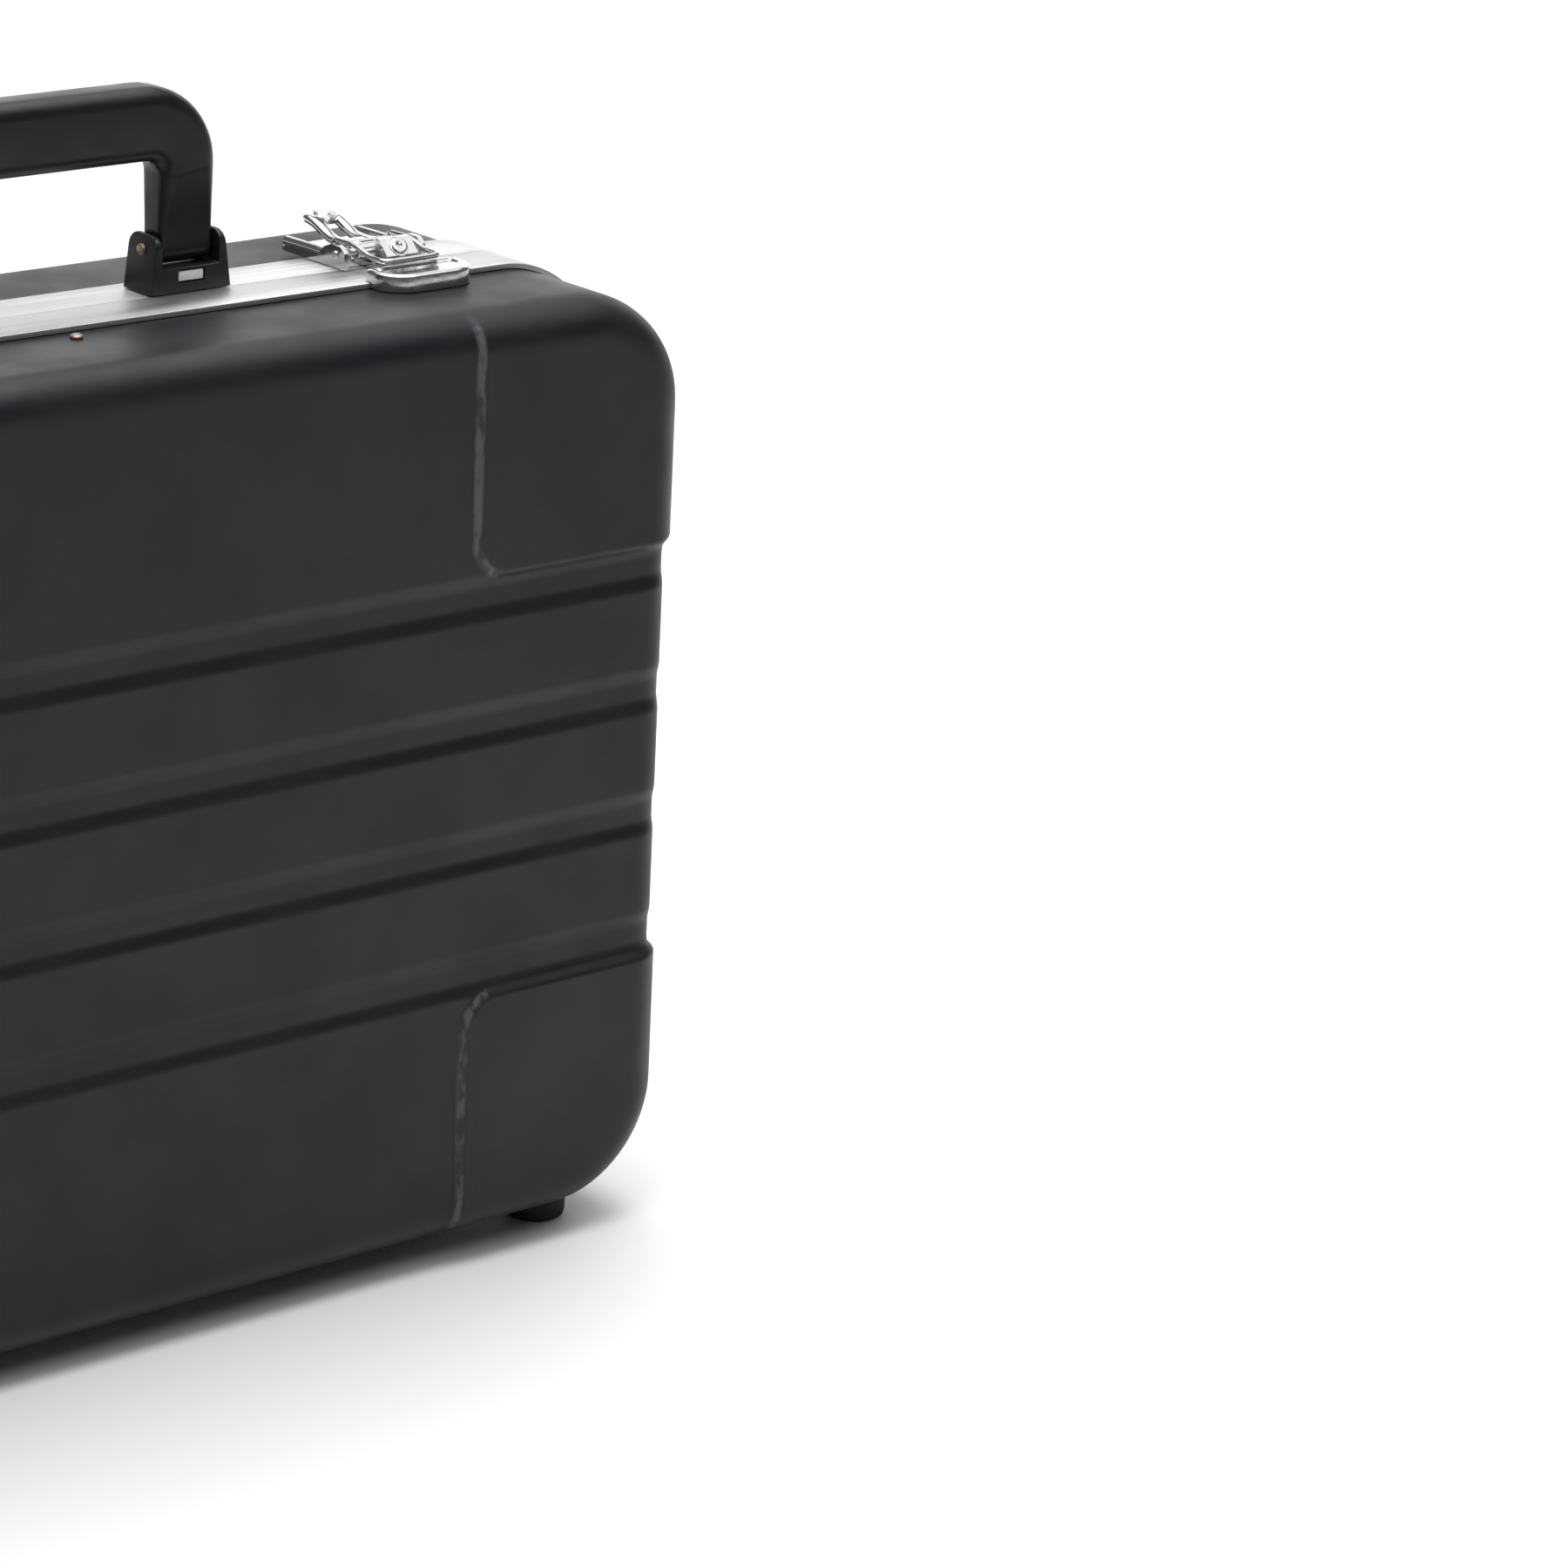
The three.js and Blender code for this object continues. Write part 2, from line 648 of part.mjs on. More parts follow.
// An angle on the inside of each end wall, on which the tray's floor rests.
function makeLedge(side) {
  const name = side > 0 ? 'right' : 'left';
  const wall = caseWidth / 2 - shellWall - gap;
  const front = tray.front + tray.depth + gap;
  const low = caseMiddle - ledge.length / 2;
  const high = caseMiddle + ledge.length / 2;
  const between = (near, far, yFar) => block(
    [Math.min(side * near, side * far), front, low],
    [Math.max(side * near, side * far), yFar, high],
  );
  const shelf = between(wall, wall - ledge.reach, front + ledge.sheet);
  const web = between(wall, wall - ledge.sheet, front + ledge.drop);
  piece(`tray_ledge_${name}`, join(shelf, web), 'aluminium');
}

// ---- the whole object ----
makeShells();
valance('front_valance', -1);
valance('back_valance', 1);
makeHandle();
makeTray();
makeRivet('rivet_front', -1);
makeRivet('rivet_back', 1);
for (const side of [-1, 1]) {
  makeBracket(side);
  makeLatch(side);
  makeHinge(side);
  makeLedge(side);
  makeFoot(side, -1);
  makeFoot(side, 1);
}

export default group;
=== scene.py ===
"""Tool case with a tray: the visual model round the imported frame, in metres."""
import json
import math

import bmesh
import bpy
import numpy as np
from mathutils import Matrix, Vector


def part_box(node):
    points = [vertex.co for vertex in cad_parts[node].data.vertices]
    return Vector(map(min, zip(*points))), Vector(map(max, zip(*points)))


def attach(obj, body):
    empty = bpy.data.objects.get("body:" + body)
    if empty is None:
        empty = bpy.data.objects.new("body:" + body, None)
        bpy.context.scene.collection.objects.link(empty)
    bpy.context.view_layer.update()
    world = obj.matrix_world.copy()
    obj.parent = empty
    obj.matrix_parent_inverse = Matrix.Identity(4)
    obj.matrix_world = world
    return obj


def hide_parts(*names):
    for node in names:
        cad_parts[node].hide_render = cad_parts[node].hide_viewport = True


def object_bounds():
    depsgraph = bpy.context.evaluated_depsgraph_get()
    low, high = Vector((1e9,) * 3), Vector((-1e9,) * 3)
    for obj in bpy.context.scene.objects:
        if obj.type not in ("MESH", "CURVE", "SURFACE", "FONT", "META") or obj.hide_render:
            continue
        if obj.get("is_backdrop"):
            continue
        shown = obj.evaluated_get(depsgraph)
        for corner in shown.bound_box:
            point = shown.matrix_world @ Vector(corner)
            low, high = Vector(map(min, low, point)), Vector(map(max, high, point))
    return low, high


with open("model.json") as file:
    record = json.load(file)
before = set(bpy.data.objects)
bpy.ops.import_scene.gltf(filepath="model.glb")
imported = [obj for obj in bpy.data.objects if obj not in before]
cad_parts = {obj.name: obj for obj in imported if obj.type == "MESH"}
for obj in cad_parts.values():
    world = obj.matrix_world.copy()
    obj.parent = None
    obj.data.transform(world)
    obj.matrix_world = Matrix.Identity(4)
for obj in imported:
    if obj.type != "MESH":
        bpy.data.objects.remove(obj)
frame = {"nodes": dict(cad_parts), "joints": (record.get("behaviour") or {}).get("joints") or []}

cad_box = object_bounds()
MM = 0.001
SIDES = ("left", "right")

# ---- sizes that the frame gives ----
shell_low, shell_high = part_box("front_shell")
valance_low, valance_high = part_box("front_valance")
handle_low, handle_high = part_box("handle")

VALANCE_RISE = 2 * MM
CASE_BOTTOM = valance_low.z + VALANCE_RISE
CASE_TOP = valance_high.z - VALANCE_RISE
CASE_MIDDLE = (CASE_BOTTOM + CASE_TOP) / 2
HALF_WIDTH = valance_high.x - VALANCE_RISE
HALF_HEIGHT = (CASE_TOP - CASE_BOTTOM) / 2
PAD_RISE_END = shell_high.x - HALF_WIDTH
PAD_RISE_FACE = 2 * MM
HALF_DEPTH = -shell_low.y - PAD_RISE_FACE
SHELL_RIM = -shell_high.y

# ---- moulded details ----
CORNER_RADIUS = 42 * MM
EDGE_RADIUS = 13 * MM
SHELL_WALL = 3 * MM
PAD_SPAN = 89 * MM
PAD_HEIGHT = 90.4 * MM
PAD_ROUNDNESS = 14 * MM
PAD_STEP = 4.2 * MM
GROOVE_SPACING = 44.8 * MM
GROOVE_WIDTH = 11.6 * MM
GROOVE_STEP_ABOVE = 6.4 * MM
GROOVE_STEP_BELOW = 6.2 * MM
GROOVE_DEPTH_FACE = 1.6 * MM
GROOVE_DEPTH_END = 0.6 * MM
VALANCE_WIDTH = 20.5 * MM
DETAIL_END = VALANCE_WIDTH + 0.35 * MM      # the moulding is plain from here to the rim
GROOVE_ROWS = (-1.5, -0.5, 0.5, 1.5)
# width of the painted highlight along the pads' edges
PAD_HIGHLIGHT_WIDTH = 1.3 * MM
HOLD = 1.1 * MM         # flat strip kept beside every step, so that its shading stays at the step

# ---- the face inside the rounded edge ----
FACE_CORNER = CORNER_RADIUS - EDGE_RADIUS
FLAT_X = HALF_WIDTH - EDGE_RADIUS - FACE_CORNER
FLAT_Z = HALF_HEIGHT - EDGE_RADIUS - FACE_CORNER
FINE_GRID = 0.55 * MM
COARSE_ACROSS = 9 * MM
COARSE_UP = 7 * MM
CORNER_CELLS = 12

# ---- mesh and node settings ----
SHARP_ANGLE = 28        # degrees; edges sharper than this are rounded
CREASE_ANGLE = 35       # degrees; edges sharper than this stay crisp in the shading
SWEPT_CREASE = 50       # the same for the shells and valances
HANDLE_CREASE = 40      # the same for the handle
MERGE_DISTANCE = 0.002 * MM         # corners of a CAD mesh nearer than this are one corner
NOISE_LOW, NOISE_HIGH = 0.3, 0.7        # the span that most of a noise texture's values fill
MIX_FIRST, MIX_SECOND, MIX_RESULT = 6, 7, 2         # a Mix node's colour sockets


# ---- node materials ----
class Finish:
    """A node material with one Principled shader, and short ways to feed it."""

    def __init__(self, name, colour, roughness, metallic=0.0, ior=1.5):
        self.material = bpy.data.materials.new(name)
        self.material.use_nodes = True
        self.nodes = self.material.node_tree.nodes
        self.links = self.material.node_tree.links
        self.shader = self.nodes["Principled BSDF"]
        self.shader.inputs["Base Color"].default_value = (*colour, 1)
        self.shader.inputs["Roughness"].default_value = roughness
        self.shader.inputs["Metallic"].default_value = metallic
        self.shader.inputs["IOR"].default_value = ior

    def place(self, stretch=(1, 1, 1), uv=None):
        """Object coordinates, or a UV map's, in metres, stretched along each axis."""
        if uv:
            source = self.nodes.new("ShaderNodeUVMap")
            source.uv_map = uv
            output = source.outputs["UV"]
        else:
            output = self.nodes.new("ShaderNodeTexCoord").outputs["Object"]
        mapping = self.nodes.new("ShaderNodeMapping")
        mapping.inputs["Scale"].default_value = stretch
        self.links.new(output, mapping.inputs["Vector"])
        return mapping.outputs["Vector"]

    def noise(self, scale, detail=2.0, place=None, roughness=0.5):
        node = self.nodes.new("ShaderNodeTexNoise")
        node.inputs["Scale"].default_value = scale
        node.inputs["Detail"].default_value = detail
        node.inputs["Roughness"].default_value = roughness
        self.links.new(place or self.place(), node.inputs["Vector"])
        return node.outputs["Fac"]

    def cells(self, scale, place=None):
        node = self.nodes.new("ShaderNodeTexVoronoi")
        node.inputs["Scale"].default_value = scale
        self.links.new(place or self.place(), node.inputs["Vector"])
        return node.outputs["Distance"]

    def ramp(self, value, low, high, to_low=0.0, to_high=1.0):
        node = self.nodes.new("ShaderNodeMapRange")
        node.interpolation_type = "SMOOTHSTEP"
        node.inputs["From Min"].default_value = low
        node.inputs["From Max"].default_value = high
        node.inputs["To Min"].default_value = to_low
        node.inputs["To Max"].default_value = to_high
        self.links.new(value, node.inputs["Value"])
        return node.outputs["Result"]

    def math(self, operation, first, second):
        node = self.nodes.new("ShaderNodeMath")
        node.operation = operation
        for socket, value in zip(node.inputs, (first, second)):
            if isinstance(value, (int, float)):
                socket.default_value = value
            else:
                self.links.new(value, socket)
        return node.outputs["Value"]

    def attribute(self, name):
        node = self.nodes.new("ShaderNodeAttribute")
        node.attribute_name = name
        return node.outputs["Fac"]

    def colour(self, factor, first, second):
        """Base colour from first to second by factor; with no first, mixes over what is there."""
        node = self.nodes.new("ShaderNodeMix")
        node.data_type = "RGBA"
        base = self.shader.inputs["Base Color"]
        if first is None:
            self.links.new(base.links[0].from_socket, node.inputs[MIX_FIRST])
        else:
            node.inputs[MIX_FIRST].default_value = (*first, 1)
        node.inputs[MIX_SECOND].default_value = (*second, 1)
        self.links.new(factor, node.inputs["Factor"])
        self.links.new(node.outputs[MIX_RESULT], base)
        return self

    def roughness(self, factor, low, high):
        value = self.ramp(factor, NOISE_LOW, NOISE_HIGH, low, high)
        self.links.new(value, self.shader.inputs["Roughness"])
        return self

    def bump(self, height, distance, strength=1.0):
        node = self.nodes.new("ShaderNodeBump")
        node.inputs["Distance"].default_value = distance
        node.inputs["Strength"].default_value = strength
        self.links.new(height, node.inputs["Height"])
        normal = self.shader.inputs["Normal"]
        if normal.links:
            self.links.new(normal.links[0].from_socket, node.inputs["Normal"])
        self.links.new(node.outputs["Normal"], normal)
        return self


def shell_finish():
    """Grained black moulding: fine pebbles, faint flow marks, and a painted highlight along the
    pads' edges.
    """
    f = Finish("shell_moulding", (0.008, 0.0085, 0.0095), 0.42, ior=1.385)
    cloud = f.noise(9, 3)
    f.colour(cloud, (0.0045, 0.0052, 0.0068), (0.0075, 0.0084, 0.0107))
    f.shader.inputs["Specular Tint"].default_value = (0.94, 0.96, 1.0, 1)
    strokes = f.noise(1.0, 3, f.place((330, 330, 120)))
    # painted highlight: lighter dashed colour on the pads' edge steps, standing in for the light
    # they catch
    painted_highlight = f.math("MULTIPLY", f.attribute("scuff"), f.ramp(strokes, 0.40, 0.60, 0.25, 1.0))
    f.colour(painted_highlight, None, (0.075, 0.078, 0.084))
    f.roughness(f.noise(35, 4), 0.40, 0.52)
    f.bump(f.cells(1300), 0.06 * MM, 0.35)
    f.bump(f.noise(2600, 2), 0.04 * MM, 0.3)
    return f.material


def handle_finish():
    f = Finish("handle_plastic", (0.005, 0.005, 0.0055), 0.34, ior=1.38)
    f.colour(f.noise(14, 3), (0.0045, 0.0047, 0.0054), (0.0080, 0.0083, 0.0090))
    f.roughness(f.noise(60, 4), 0.30, 0.42)
    f.bump(f.noise(1500, 3), 0.04 * MM, 0.35)
    f.bump(f.noise(120, 2), 0.12 * MM, 0.25)
    return f.material


def bracket_finish():
    f = Finish("bracket_plastic", (0.008, 0.008, 0.009), 0.38, ior=1.47)
    f.colour(f.noise(40, 3), (0.0065, 0.0065, 0.0072), (0.0105, 0.0105, 0.0115))
    f.roughness(f.noise(90, 4), 0.32, 0.46)
    f.bump(f.noise(1800, 3), 0.04 * MM, 0.4)
    return f.material


def aluminium_finish(name="brushed_aluminium", uv="flow"):
    """Metal with long streaks along the flow, and faint cloudy wear."""
    f = Finish(name, (0.55, 0.55, 0.56), 0.3, metallic=1.0)
    along = f.place((6, 1400, 1400), uv)
    streaks = f.noise(1.0, 5, along, 0.6)
    f.colour(f.ramp(streaks, NOISE_LOW, NOISE_HIGH), (0.47, 0.473, 0.48), (0.63, 0.633, 0.64))
    f.roughness(streaks, 0.42, 0.56)
    f.bump(streaks, 0.02 * MM, 0.3)
    f.bump(f.noise(40, 3, f.place(uv=uv)), 0.1 * MM, 0.1)
    f.shader.inputs["Anisotropic"].default_value = 0.3
    return f.material


def chrome_finish():
    f = Finish("latch_chrome", (0.66, 0.665, 0.675), 0.07, metallic=1.0)
    f.colour(f.noise(120, 4), (0.60, 0.61, 0.625), (0.74, 0.745, 0.75))
    f.roughness(f.noise(420, 4), 0.07, 0.19)
    f.bump(f.noise(260, 3), 0.08 * MM, 0.10)
    return f.material


def steel_finish():
    f = Finish("plated_steel", (0.55, 0.555, 0.56), 0.35, metallic=1.0)
    f.colour(f.noise(300, 5), (0.46, 0.465, 0.47), (0.64, 0.645, 0.65))
    f.roughness(f.noise(500, 4), 0.26, 0.46)
    f.bump(f.noise(1200, 3), 0.04 * MM, 0.4)
    return f.material


def window_finish():
    """Pale satin lacquer with a little dust in it."""
    f = Finish("window_lacquer", (0.74, 0.74, 0.74), 0.4)
    f.colour(f.noise(900, 4), (0.66, 0.66, 0.66), (0.80, 0.80, 0.80))
    f.roughness(f.noise(600, 3), 0.34, 0.5)
    f.bump(f.noise(1500, 3), 0.03 * MM, 0.4)
    return f.material


def rivet_finish():
    f = Finish("rivet_metal", (0.36, 0.26, 0.22), 0.45, metallic=1.0)
    f.colour(f.noise(700, 4), (0.26, 0.18, 0.15), (0.46, 0.35, 0.30))
    f.roughness(f.noise(900, 4), 0.36, 0.56)
    f.bump(f.noise(1500, 3), 0.04 * MM, 0.5)
    return f.material


def rubber_finish():
    f = Finish("foot_rubber", (0.012, 0.012, 0.012), 0.8, ior=1.4)
    f.colour(f.noise(80, 4), (0.009, 0.009, 0.009), (0.018, 0.018, 0.018))
    f.roughness(f.noise(200, 4), 0.68, 0.88)
    f.bump(f.noise(900, 4), 0.12 * MM, 0.5)
    return f.material


def tray_finish():
    f = Finish("tray_plastic", (0.07, 0.073, 0.077), 0.5, ior=1.46)
    f.colour(f.noise(12, 3), (0.060, 0.063, 0.067), (0.082, 0.085, 0.090))
    f.roughness(f.noise(45, 4), 0.42, 0.58)
    f.bump(f.cells(1100), 0.06 * MM, 0.35)
    return f.material


def floor_finish():
    f = Finish("pale_floor", (0.90, 0.90, 0.90), 0.7, ior=1.3)
    f.colour(f.noise(2.5, 3), (0.885, 0.885, 0.885), (0.915, 0.915, 0.915))
    return f.material


FINISHES = {
    "moulded_shell": shell_finish(),
    "handle_plastic": handle_finish(),
    "bracket_plastic": bracket_finish(),
    "valance_metal": aluminium_finish(),
    "latch_chrome": chrome_finish(),
    "plain_steel": steel_finish(),
    "rivet_metal": rivet_finish(),
    "foot_rubber": rubber_finish(),
    "tray_plastic": tray_finish(),
}
PLATE_METAL = aluminium_finish("plate_aluminium", None)
WINDOW_METAL = window_finish()


# ---- making pieces ----
def link_object(name, data):
    thing = bpy.data.objects.new(name, data)
    bpy.context.scene.collection.objects.link(thing)
    return thing


def dress(piece, body, slot, finish, *nodes):
    """Gives a new piece its material and body, and lets it stand for CAD nodes; the slot argument
    is not used.
    """
    piece.data.materials.clear()
    piece.data.materials.append(finish)
    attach(piece, body)
    if nodes:
        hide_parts(*nodes)
    return piece


def smooth_with_creases(mesh, crease=CREASE_ANGLE):
    """Smooth shading, with edges sharper than `crease` degrees kept crisp."""
    edit = bmesh.new()
    edit.from_mesh(mesh)
    bmesh.ops.recalc_face_normals(edit, faces=edit.faces)
    for face in edit.faces:
        face.smooth = True
    for edge in edit.edges:
        edge.smooth = not edge.is_manifold or edge.calc_face_angle(0) < math.radians(crease)
    edit.to_mesh(mesh)
    edit.free()


def new_piece(name, points, faces):
    mesh = bpy.data.meshes.new(name)
    mesh.from_pydata([tuple(p) for p in points], [], faces)
    mesh.update()
    return link_object(name, mesh)


def dissolve_flat(edit, angle):
    bmesh.ops.dissolve_limit(
        edit, angle_limit=math.radians(angle), verts=edit.verts, edges=edit.edges
    )


def round_edges(edit, width, segments=3):
    limit = math.radians(SHARP_ANGLE)
    sharp = [e for e in edit.edges if e.is_manifold and e.calc_face_angle(0) > limit]
    bmesh.ops.bevel(
        edit,
        geom=sharp,
        offset=width,
        offset_type="OFFSET",
        segments=segments,
        profile=0.5,
        affect="EDGES",
        clamp_overlap=True,
    )


def softened(node, body, width, slot, finish=None):
    """A copy of a CAD node with its hard edges rounded."""
    mesh = frame["nodes"][node].data.copy()
    edit = bmesh.new()
    edit.from_mesh(mesh)
    bmesh.ops.remove_doubles(edit, verts=edit.verts, dist=MERGE_DISTANCE)
    dissolve_flat(edit, 0.6)
    round_edges(edit, width, segments=2)
    edit.to_mesh(mesh)
    edit.free()
    smooth_with_creases(mesh)
    piece = link_object(f"{node}_shape", mesh)
    return dress(piece, body, slot, finish or FINISHES[slot], node)


# ---- shells ----
def smoothstep(value):
    t = np.clip(value, 0, 1)
    return t * t * (3 - 2 * t)


def spread(low, high, step):
    """Evenly spaced values from low to high, both included."""
    count = max(1, round((high - low) / step))
    return [low + (high - low) * i / count for i in range(count + 1)]


def grid_lines(limit, fine_spans, coarse):
    """Grid lines from -limit to limit: fine in the spans given for one side, coarse elsewhere."""
    marks = {0.0, limit, limit - FACE_CORNER}
    touching = 1e-9
    for low, high in fine_spans:
        marks.update(spread(low, high, FINE_GRID))
    ordered = sorted(marks)
    lines = set()
    for low, high in zip(ordered, ordered[1:]):
        in_corner = low >= limit - FACE_CORNER - touching
        step = FACE_CORNER / CORNER_CELLS if in_corner else coarse
        lines.update(round(v, 7) for v in spread(low, high, step))
    return sorted({-v for v in lines} | lines)


def shell_lines():
    """The lines of the face's grid across and up: close together at pad edges and grooves."""
    pad_inner = HALF_WIDTH - PAD_SPAN
    pad_low = HALF_HEIGHT - PAD_HEIGHT
    reach = GROOVE_STEP_BELOW / 2 + HOLD
    outer_groove = GROOVE_ROWS[-1] * GROOVE_SPACING + GROOVE_WIDTH / 2 + reach
    upright = [(pad_inner - PAD_STEP / 2 - HOLD, pad_inner + PAD_ROUNDNESS + HOLD)]
    level = [(outer_groove, pad_low + PAD_ROUNDNESS + HOLD)]
    for row in GROOVE_ROWS:
        if row > 0:
            for way in (-1, 1):
                middle = row * GROOVE_SPACING + way * GROOVE_WIDTH / 2
                level.append((middle - reach, middle + reach))
    across = grid_lines(HALF_WIDTH - EDGE_RADIUS, upright, COARSE_ACROSS)
    up = grid_lines(HALF_HEIGHT - EDGE_RADIUS, level, COARSE_UP)
    return np.array(across), np.array(up)


def past_pad_edge(x, z):
    """How far a point lies outside its corner pad's outline; negative on the pad."""
    over_x = HALF_WIDTH - PAD_SPAN + PAD_ROUNDNESS - np.abs(x)
    over_z = HALF_HEIGHT - PAD_HEIGHT + PAD_ROUNDNESS - np.abs(z)
    outside = np.hypot(np.maximum(over_x, 0), np.maximum(over_z, 0))
    return outside - PAD_ROUNDNESS + np.minimum(np.maximum(over_x, over_z), 0)


def pad_amount(x, z):
    """1 on a corner pad, 0 off it, with a soft step between."""
    return smoothstep(0.5 - past_pad_edge(x, z) / PAD_STEP)


def groove_amount(z):
    """1 on a groove's floor, 0 off it."""
    amount = np.zeros_like(z)
    for row in GROOVE_ROWS:
        off = z - row * GROOVE_SPACING
        step = np.where(off > 0, GROOVE_STEP_ABOVE, GROOVE_STEP_BELOW)
        amount += smoothstep(0.5 - (np.abs(off) - GROOVE_WIDTH / 2) / step)
    return amount


def pad_highlight_amount(x, z):
    """Mask for the painted highlight on the pads' upright inner edges and their inner corners."""
    near = smoothstep(1.5 - np.abs(past_pad_edge(x, z)) / PAD_HIGHLIGHT_WIDTH)
    corner_share = 0.75
    beside = np.abs(x) < HALF_WIDTH - PAD_SPAN + corner_share * PAD_ROUNDNESS
    return near * beside


def moulding(points, normals, side):
    """Raises the pads and sinks the grooves along each point's own normal, less round the edge."""
    x = points[:, 0]
    z = points[:, 2]
    fade_power = 3
    fade_width = 0.2 * MM
    towards_end = np.abs(normals[:, 0]) ** fade_power
    towards_face = np.abs(normals[:, 1]) ** fade_power
    past_valance = smoothstep((side * points[:, 1] - DETAIL_END) / fade_width + 1)
    rise = pad_amount(x, z) * (PAD_RISE_END * towards_end + PAD_RISE_FACE * towards_face)
    sink = groove_amount(z) * (GROOVE_DEPTH_END * towards_end + GROOVE_DEPTH_FACE * towards_face)
    return points + normals * ((rise - sink) * past_valance)[:, None]


def face_sheet(across, up):
    """The flat face's grid points (x, z), with its corners bent to quarter circles."""
    x, z = np.meshgrid(across, up)
    a = np.clip((np.abs(x) - FLAT_X) / FACE_CORNER, 0, 1)
    b = np.clip((np.abs(z) - FLAT_Z) / FACE_CORNER, 0, 1)
    in_corner = (a > 0) & (b > 0)
    bent_x = np.sign(x) * (FLAT_X + FACE_CORNER * a * np.sqrt(1 - b * b / 2))
    bent_z = np.sign(z) * (FLAT_Z + FACE_CORNER * b * np.sqrt(1 - a * a / 2))
    return np.where(in_corner, bent_x, x), np.where(in_corner, bent_z, z)


def border(rows, columns):
    """Indices of a grid's border, in order round it."""
    grid = np.arange(rows * columns).reshape(rows, columns)
    parts = (grid[0, :-1], grid[:-1, -1], grid[-1, :0:-1], grid[:0:-1, 0])
    return np.concatenate(parts)


def outward(points_x, points_z):
    """Unit directions pointing out of the case outline at the face's border."""
    core_x = np.clip(points_x, -FLAT_X, FLAT_X)
    core_z = np.clip(points_z, -FLAT_Z, FLAT_Z)
    out = np.stack([points_x - core_x, points_z - core_z], 1)
    return out / np.linalg.norm(out, axis=1, keepdims=True)


def skin(side, across, up, inset, wall_places):
    """One skin of a shell: its face grid, its rounded edge and its wall, as points and normals."""
    x, z = face_sheet(across, up)
    depth = side * (HALF_DEPTH - inset)
    radius = EDGE_RADIUS - inset
    count = x.size
    face = np.stack([x.ravel(), np.full(count, depth), z.ravel()], 1)
    face_normals = np.tile([0.0, side, 0.0], (count, 1))
    loop = border(*x.shape)
    out = outward(face[loop, 0], face[loop, 2])
    points, normals = [face], [face_normals]
    steps = 10
    stations = [
        (radius * math.sin(a), HALF_DEPTH - inset - radius * (1 - math.cos(a)), a)
        for a in (math.pi / 2 * i / steps for i in range(1, steps + 1))
    ]
    stations += [(radius, place, math.pi / 2) for place in wall_places]
    for reach, place, angle in stations:
        ring = np.empty((len(loop), 3))
        ring[:, 0] = face[loop, 0] + out[:, 0] * reach
        ring[:, 1] = side * place
        ring[:, 2] = face[loop, 2] + out[:, 1] * reach
        normal = np.empty_like(ring)
        normal[:, 0] = out[:, 0] * math.sin(angle)
        normal[:, 1] = side * math.cos(angle)
        normal[:, 2] = out[:, 1] * math.sin(angle)
        points.append(ring)
        normals.append(normal)
    return np.concatenate(points), np.concatenate(normals), loop, len(stations)


def skin_faces(rows, columns, loop, rings, start):
    """The quads of one skin, and the indices of its last ring."""
    faces = []
    for r in range(rows - 1):
        for c in range(columns - 1):
            i = start + r * columns + c
            faces.append((i, i + 1, i + columns + 1, i + columns))
    size = len(loop)
    current = [start + int(i) for i in loop]
    base = start + rows * columns
    for ring in range(rings):
        following = [base + ring * size + i for i in range(size)]
        faces += band(current, following)
        current = following
    return faces, current


def band(first, second):
    """Quads between two closed rings with the same number of points."""
    size = len(first)
    return [
        (first[i], first[(i + 1) % size], second[(i + 1) % size], second[i]) for i in range(size)
    ]


def make_shell(name, side, body):
    """A thin moulded shell: side is -1 for the lid and 1 for the base."""
    across, up = shell_lines()
    rows, columns = len(up), len(across)
    wall_top = HALF_DEPTH - EDGE_RADIUS
    wall_step = 9 * MM
    inner_step = 15 * MM
    steepest_highlight = 0.6
    places = [
        *spread(DETAIL_END + 0.4 * MM, wall_top - wall_step, wall_step)[::-1],
        DETAIL_END + 0.1 * MM,
        DETAIL_END - 0.2 * MM,
        SHELL_RIM + 6 * MM,
        SHELL_RIM,
    ]
    outer, normals, loop, rings = skin(side, across, up, 0, places)
    # mask for the painted highlight on the pads' edges, kept off the top and bottom walls
    scuff = pad_highlight_amount(outer[:, 0], outer[:, 2]) * (np.abs(normals[:, 2]) < steepest_highlight)
    outer = moulding(outer, normals, side)
    inner_places = spread(SHELL_RIM, wall_top - inner_step, inner_step)[::-1]
    inner, _, _, inner_rings = skin(side, across, up, SHELL_WALL, inner_places)
    faces, outer_rim = skin_faces(rows, columns, loop, rings, 0)
    inner_faces, inner_rim = skin_faces(rows, columns, loop, inner_rings, len(outer))
    faces += [face[::-1] for face in inner_faces]
    faces += band(outer_rim, inner_rim)
    points = np.concatenate([outer, inner])
    points[:, 2] += CASE_MIDDLE
    piece = new_piece(f"{name}_moulding", points, faces)
    # the painted-highlight mask, stored per point for the material
    painted_highlight = piece.data.attributes.new("scuff", "FLOAT", "POINT")
    painted_highlight.data.foreach_set("value", np.concatenate([scuff, np.zeros(len(inner))]).astype(np.float32))
    smooth_with_creases(piece.data, SWEPT_CREASE)
    return dress(piece, body, "moulded_shell", FINISHES["moulded_shell"], name)


